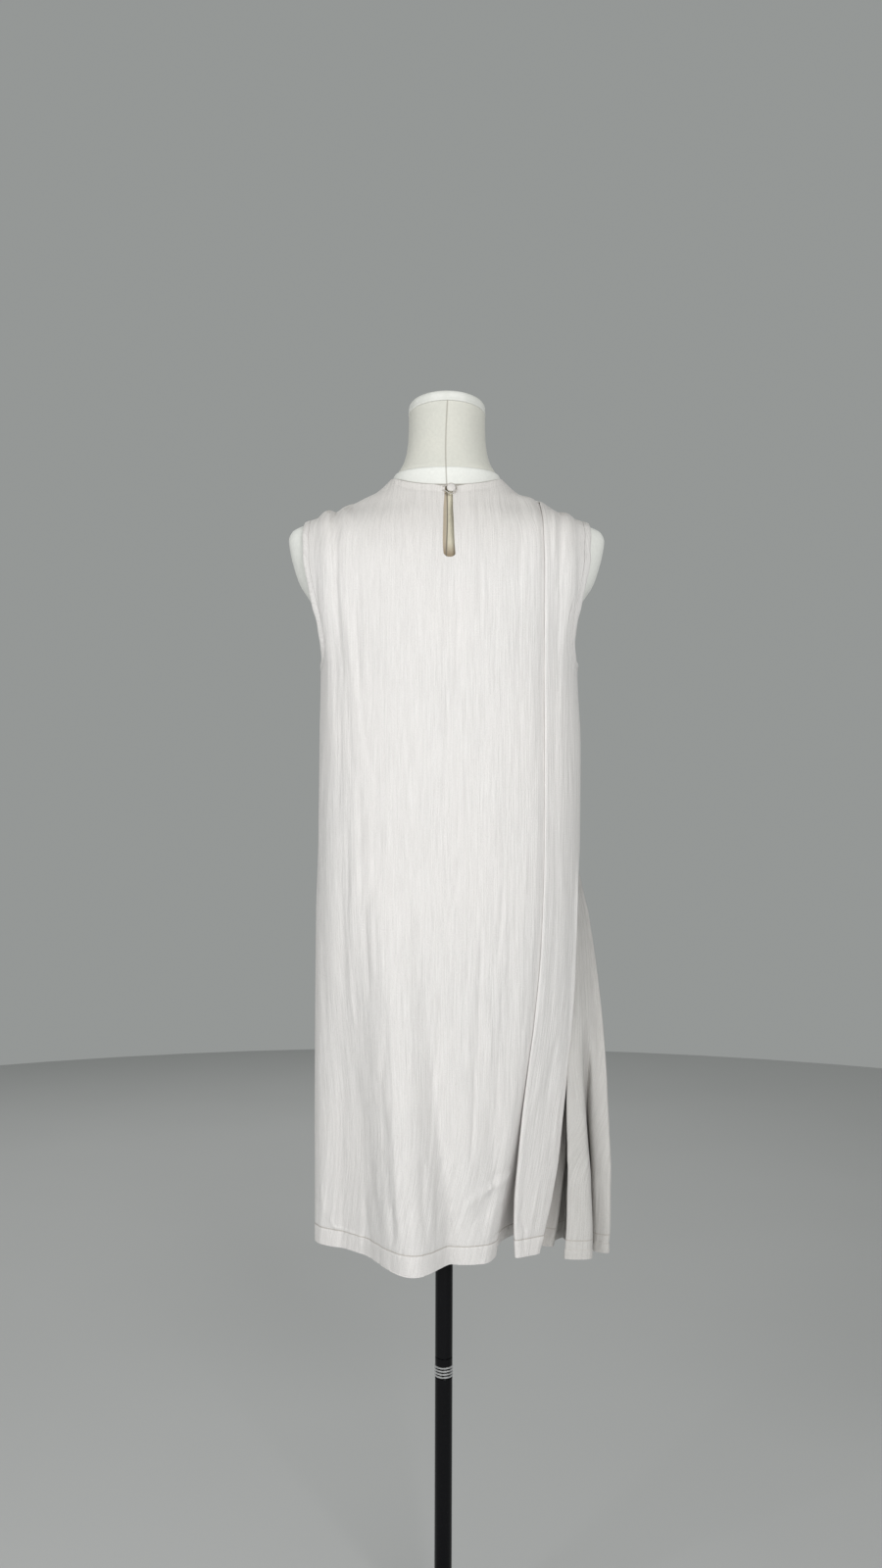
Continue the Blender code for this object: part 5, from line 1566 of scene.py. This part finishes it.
def jersey(name):
    """The form's stretch cover: white shoulders, a greyer neck, yellowish white under the slit with
    painted shade to the left of its seam and towards its bottom, a dark seam drawn darker in the slit as
    painted shade, and a painted shadow line under the back neckline.
    """
    finish = Finish(name)
    where = finish.place()
    x, y, z = finish.axes(where)
    knit = finish.noise(where, (1500.0, 1500.0, 900.0), 2.0)
    mottle = finish.noise(where, (260.0, 260.0, 260.0), 3.0)
    soft = finish.noise(where, (24.0, 24.0, 18.0), 2.0)
    neck = z.between(COLLAR_Z - 0.0002, COLLAR_Z + 0.0010)
    tone = finish.mix(neck, colour(0.82, 0.825, 0.785), colour(0.655, 0.65, 0.59))
    tone = finish.mix(neck * soft.between(0.4, 0.7) * 0.35, tone, colour(0.72, 0.705, 0.63))
    middle = (1.0 - x.size().between(0.013, 0.019)) * (1.0 - z.between(1.452, 1.456))
    back = 1.0 - y.between(-0.002, 0.0)
    inside = middle * z.between(1.32, 1.34) * back
    # Under the slit the cover is yellowish white, with painted shade: beige left of the seam and brown
    # towards the slit's bottom.
    slit_patch_and_shade = finish.mix(x.between(-0.0020, 0.0015), colour(0.62, 0.53, 0.41), colour(0.84, 0.79, 0.63))
    slit_patch_and_shade = finish.mix(1.0 - z.between(1.362, 1.385), slit_patch_and_shade, colour(0.40, 0.31, 0.21))
    tone = finish.mix(inside, tone, slit_patch_and_shade)
    turn = (z - FORM_SEAM_SWAY_Z) * FORM_SEAM_TURN
    sway = finish.node("ShaderNodeMath", {"operation": "SINE"}, {0: turn}) * FORM_SEAM_SWAY
    seam_x = sway - FORM_SEAM_OFF + (z - FORM_SEAM_DRIFT_Z).bigger(0.0) * FORM_SEAM_DRIFT
    seam = 1.0 - (x - seam_x).size().between(0.0004, 0.0013)
    # The seam is the cover's own dark joint; inside the slit it is drawn darker still as painted shade.
    seam = seam * back * (0.55 + 0.35 * inside)
    tone = finish.mix(seam, tone, colour(0.24, 0.21, 0.17))
    neckline = (x.size() / NECK_SIDE_X) ** 2.4 * (NECK_SIDE_Z - NECK_BACK_Z) + NECK_BACK_Z
    shadow = (1.0 - (z - neckline).between(0.0022, 0.0042)) * (1.0 - x.size().between(0.066, 0.074))
    tone = finish.mix(shadow * back * (1.0 - inside) * 0.80, tone, colour(0.27, 0.24, 0.20))
    tone = finish.shade(tone, mottle * 0.14 + knit * 0.06 + 0.90)
    finish.surface.inputs["Sheen Weight"].default_value = 0.15
    height = mottle * 0.5 + knit * 0.3
    return finish.wear(tone, mottle * 0.08 + 0.84, finish.bump(height, 0.0004))


def cap_cloth(name):
    """The neck cap's smoother white cover."""
    finish = Finish(name)
    where = finish.place()
    knit = finish.noise(where, (1400.0, 1400.0, 1000.0), 2.0)
    soft = finish.noise(where, (60.0, 60.0, 40.0), 2.0)
    tone = finish.mix(soft.between(0.35, 0.7), colour(0.76, 0.765, 0.72), colour(0.82, 0.82, 0.78))
    tone = finish.shade(tone, knit * 0.05 + 0.96)
    return finish.wear(tone, knit * 0.06 + 0.72, finish.bump(knit, 0.0002))


def gloss_black(name):
    """Gloss black paint with a faint brushed run and a few dull specks."""
    finish = Finish(name)
    where = finish.place()
    run = finish.noise(where, (220.0, 220.0, 6.0), 2.0)
    dust = finish.noise(where, (900.0, 900.0, 900.0), 2.0).between(0.62, 0.78)
    tone = finish.mix(dust * 0.5, colour(0.003, 0.003, 0.004), colour(0.020, 0.020, 0.021))
    finish.surface.inputs["Specular IOR Level"].default_value = 0.16
    return finish.wear(tone, run * 0.06 + dust * 0.15 + 0.13, finish.bump(run, 0.00008))


def polished_steel(name):
    """Polished steel with fine turning marks."""
    finish = Finish(name)
    where = finish.place()
    marks = finish.noise(where, (40.0, 40.0, 5200.0), 2.0)
    smear = finish.noise(where, (90.0, 90.0, 90.0), 2.0)
    tone = finish.mix(smear.between(0.3, 0.7), colour(0.66, 0.66, 0.67), colour(0.80, 0.80, 0.81))
    finish.surface.inputs["Metallic"].default_value = 1.0
    return finish.wear(tone, marks * 0.08 + smear * 0.06 + 0.07, finish.bump(marks, 0.00003))


def studio_floor(name):
    finish = Finish(name)
    where = finish.place()
    soft = finish.noise(where, (1.5, 1.5, 1.5), 2.0)
    tone = finish.mix(soft, colour(0.52, 0.525, 0.52), colour(0.56, 0.565, 0.56))
    return finish.wear(tone, soft * 0.1 + 0.7)


def soft_light(name, at, aim, size, power):
    light = bpy.data.lights.new(name, "AREA")
    light.shape = "RECTANGLE"
    light.size, light.size_y = size
    light.energy = power
    lamp = bpy.data.objects.new(name, light)
    bpy.context.scene.collection.objects.link(lamp)
    lamp.location = at
    lamp.rotation_euler = (Vector(aim) - Vector(at)).to_track_quat("-Z", "Y").to_euler()


def place_camera(scene):
    view = bpy.data.cameras.new("studio_camera")
    view.lens = LENS
    view.sensor_width = SENSOR
    camera = bpy.data.objects.new("studio_camera", view)
    scene.collection.objects.link(camera)
    camera.location = CAMERA_AT
    camera.rotation_euler = [math.radians(turn) for turn in CAMERA_TURN]
    scene.camera = camera


def lay_floor(scene):
    turns = [2 * math.pi * k / FLOOR_CORNERS for k in range(FLOOR_CORNERS)]
    rim = [(FLOOR_RADIUS * math.cos(turn), FLOOR_RADIUS * math.sin(turn), FLOOR_Z) for turn in turns]
    mesh = bpy.data.meshes.new("studio_floor")
    mesh.from_pydata(rim, [], [tuple(range(FLOOR_CORNERS))])
    mesh.materials.append(studio_floor("studio_floor_paint"))
    floor = bpy.data.objects.new("studio_floor", mesh)
    scene.collection.objects.link(floor)


def set_up_studio():
    scene = bpy.context.scene
    place_camera(scene)
    scene.view_settings.view_transform = "Standard"
    world = bpy.data.worlds.new("studio_air")
    scene.world = world
    world.use_nodes = True
    air = world.node_tree.nodes["Background"]
    air.inputs["Color"].default_value = AIR_COLOUR
    air.inputs["Strength"].default_value = 1.0
    lay_floor(scene)
    for name, light in LIGHTS.items():
        soft_light(name, *light)


def shape_back(lower, upper, slit_row, cloth):
    """The back panel: its base points, finished points, normals and piece."""
    before_pleat = sum(count for count, _ in BACK_COLUMNS)
    base = back_panel_points((lower, upper), BACK_COLUMNS, PLEAT_STEPS, BAND_COLUMNS, TURN_COLUMNS)
    base = part_seams(base, BACK, len(lower))
    slit_left = BACK_COLUMNS[0][0] + BACK_COLUMNS[1][0]
    slit_right = slit_left + BACK_COLUMNS[2][0]
    round_slit(base, slit_row, slit_left, slit_right)
    into_pleat = np.arange(base.shape[1]) - before_pleat
    inside = ease((into_pleat - CALM_FROM) / CALM_START) * ease((CALM_TO - into_pleat) / CALM_STOP)
    calm = 1.0 - CALM_SHARE * inside
    band_from = before_pleat + PLEAT_UNDER_ROW * PLEAT_STEPS
    creases = BACK_CREASES, BACK_CRUMPLES
    middle, run, thick = creased(base, BACK, *creases, BACK_SEED, calm[None, :], band_from)
    normal = panel_normals(middle, BACK, len(lower))
    dropped = {(i, j) for i in range(slit_row, len(middle) - 1) for j in range(slit_left, slit_right)}
    piece = cloth_shell("back_cloth", middle, normal, run, thick, cloth, dropped)
    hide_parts("back_panel")
    return base, middle, normal, piece


def shape_front(lower, upper, cloth):
    """The front panel: its base points, finished points, normals and piece."""
    base = front_panel_points((lower, upper), FRONT_COLUMNS, TURN_COLUMNS)
    base = part_seams(base, FRONT, len(lower))
    creases = FRONT_CREASES, FRONT_CRUMPLES
    middle, run, thick = creased(base, FRONT, *creases, FRONT_SEED)
    normal = panel_normals(middle, FRONT, len(lower))
    piece = cloth_shell("front_cloth", middle, normal, run, thick, cloth, (), True)
    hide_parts("front_panel")
    return base, middle, normal, piece


def shape_insert(lower, back_base, front_base, cloth):
    """The pleated insert between the panels' turned edges: its points, normals and piece."""
    open_rows = [i for i, z in enumerate(lower) if z <= OPENING_TOP_Z - INSERT_BELOW_TOP]
    gap = np.array([0.5 * WALL + SEAM + INSERT_CLEAR, 0.0])
    away = np.array([0.0, INSERT_CLEAR])
    back_edge = back_base[open_rows, -1, :2] + gap + away
    front_edge = front_base[open_rows, -1, :2] + gap - away
    middle = insert_points(lower[open_rows], back_edge, front_edge, INSERT_STEPS)
    middle[:, :, 0] -= INSERT_TUCK * ease((middle[:, :, 2] - INSERT_TUCK_FROM_Z) / INSERT_TUCK_OVER)
    normal = mitred(middle)
    across = run_across(middle)
    z = middle[:, :, 2]
    run = INSERT_RUN * across / across[:, -1:]
    height = INSERT_CRINKLE * crinkle(run, z, INSERT_SEED)
    height = height + INSERT_HEM_STRENGTH * hem_height(across, z, INSERT_HEM_DEPTH, INSERT_HEM_SEED)
    height *= ease(across / INSERT_HOLD) * ease((across[:, -1:] - across) / INSERT_HOLD)
    middle = middle + normal * height[:, :, None]
    thick = shell_thickness(z, INSERT_HEM_DEPTH)
    piece = cloth_shell("painted_shade_insert_cloth", middle, normal, np.stack([run, z], axis=2), thick, cloth)
    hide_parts("side_insert")
    return middle, normal, piece


def dress_pleated_shift(cloth, painted_shade_insert_cloth, thread):
    """The dress: two panels, the pleated insert, armhole strips, button and loop, and the stitches."""
    lower, upper, slit_row = fine_rows()
    start = len(lower)
    back_base, back, back_normal, back_panel = shape_back(lower, upper, slit_row, cloth)
    front_base, front, front_normal, front_panel = shape_front(lower, upper, cloth)
    insert, insert_normal, insert_panel = shape_insert(lower, back_base, front_base, painted_shade_insert_cloth)

    back_data, front_data = (back_base, back_normal, start), (front_base, front_normal, start)
    left_strip = dress_armhole("armhole_strip_left", back_data, front_data, -1, cloth)
    right_strip = dress_armhole("armhole_strip_right", back_data, front_data, 1, cloth)
    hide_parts("armhole_binding_left")
    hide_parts("armhole_binding_right")
    button = dress_button(cloth)
    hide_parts("button")
    loop = dress_loop(thread)
    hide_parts("button_loop")

    hem_z = HEM_Z + HEM_DEPTH
    insert_z = HEM_Z + INSERT_HEM_DEPTH
    back_line = along_row(back, back_normal, SHELL, hem_z)
    front_line = along_row(front, front_normal, SHELL, hem_z)
    insert_line = along_row(insert, insert_normal, SHELL, insert_z)
    back_stitches = stitched("back_hem_stitches", *back_line, thread)
    front_stitches = stitched("front_hem_stitches", *front_line, thread)
    insert_stitches = stitched("insert_hem_stitches", *insert_line, thread)


def finish_stand():
    black = gloss_black("gloss_black_paint")
    steel = polished_steel("polished_steel")
    for name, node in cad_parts.items():
        if name.startswith("pole_ring"):
            node.material_slots[0].material = steel
        elif name.startswith(("pole_", "base_", "form_socket")):
            node.material_slots[0].material = black


def main():
    set_up_studio()
    cloth = crinkled_cotton(
        "crinkled_cotton",
        colour(0.835, 0.815, 0.80), colour(0.745, 0.725, 0.71), colour(0.825, 0.795, 0.775),
    )
    # Painted shade: the insert gets a darker copy of the same cotton, standing in for the shade it hangs
    # in beside the band.
    painted_shade_insert_cloth = crinkled_cotton(
        "crinkled_cotton_painted_shade",
        colour(0.62, 0.605, 0.585), colour(0.54, 0.525, 0.505), colour(0.60, 0.58, 0.555),
    )
    thread = crinkled_cotton(
        "hem_thread",
        colour(0.60, 0.57, 0.53), colour(0.50, 0.47, 0.43), colour(0.60, 0.56, 0.51),
    )
    dress_pleated_shift(cloth, painted_shade_insert_cloth, thread)
    cover = dress_form_cover(jersey("form_jersey_cover"))
    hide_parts("form_body")
    cap = dress_cap(cap_cloth("neck_cap_cloth"))
    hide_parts("form_neck_cap")
    finish_stand()


main()
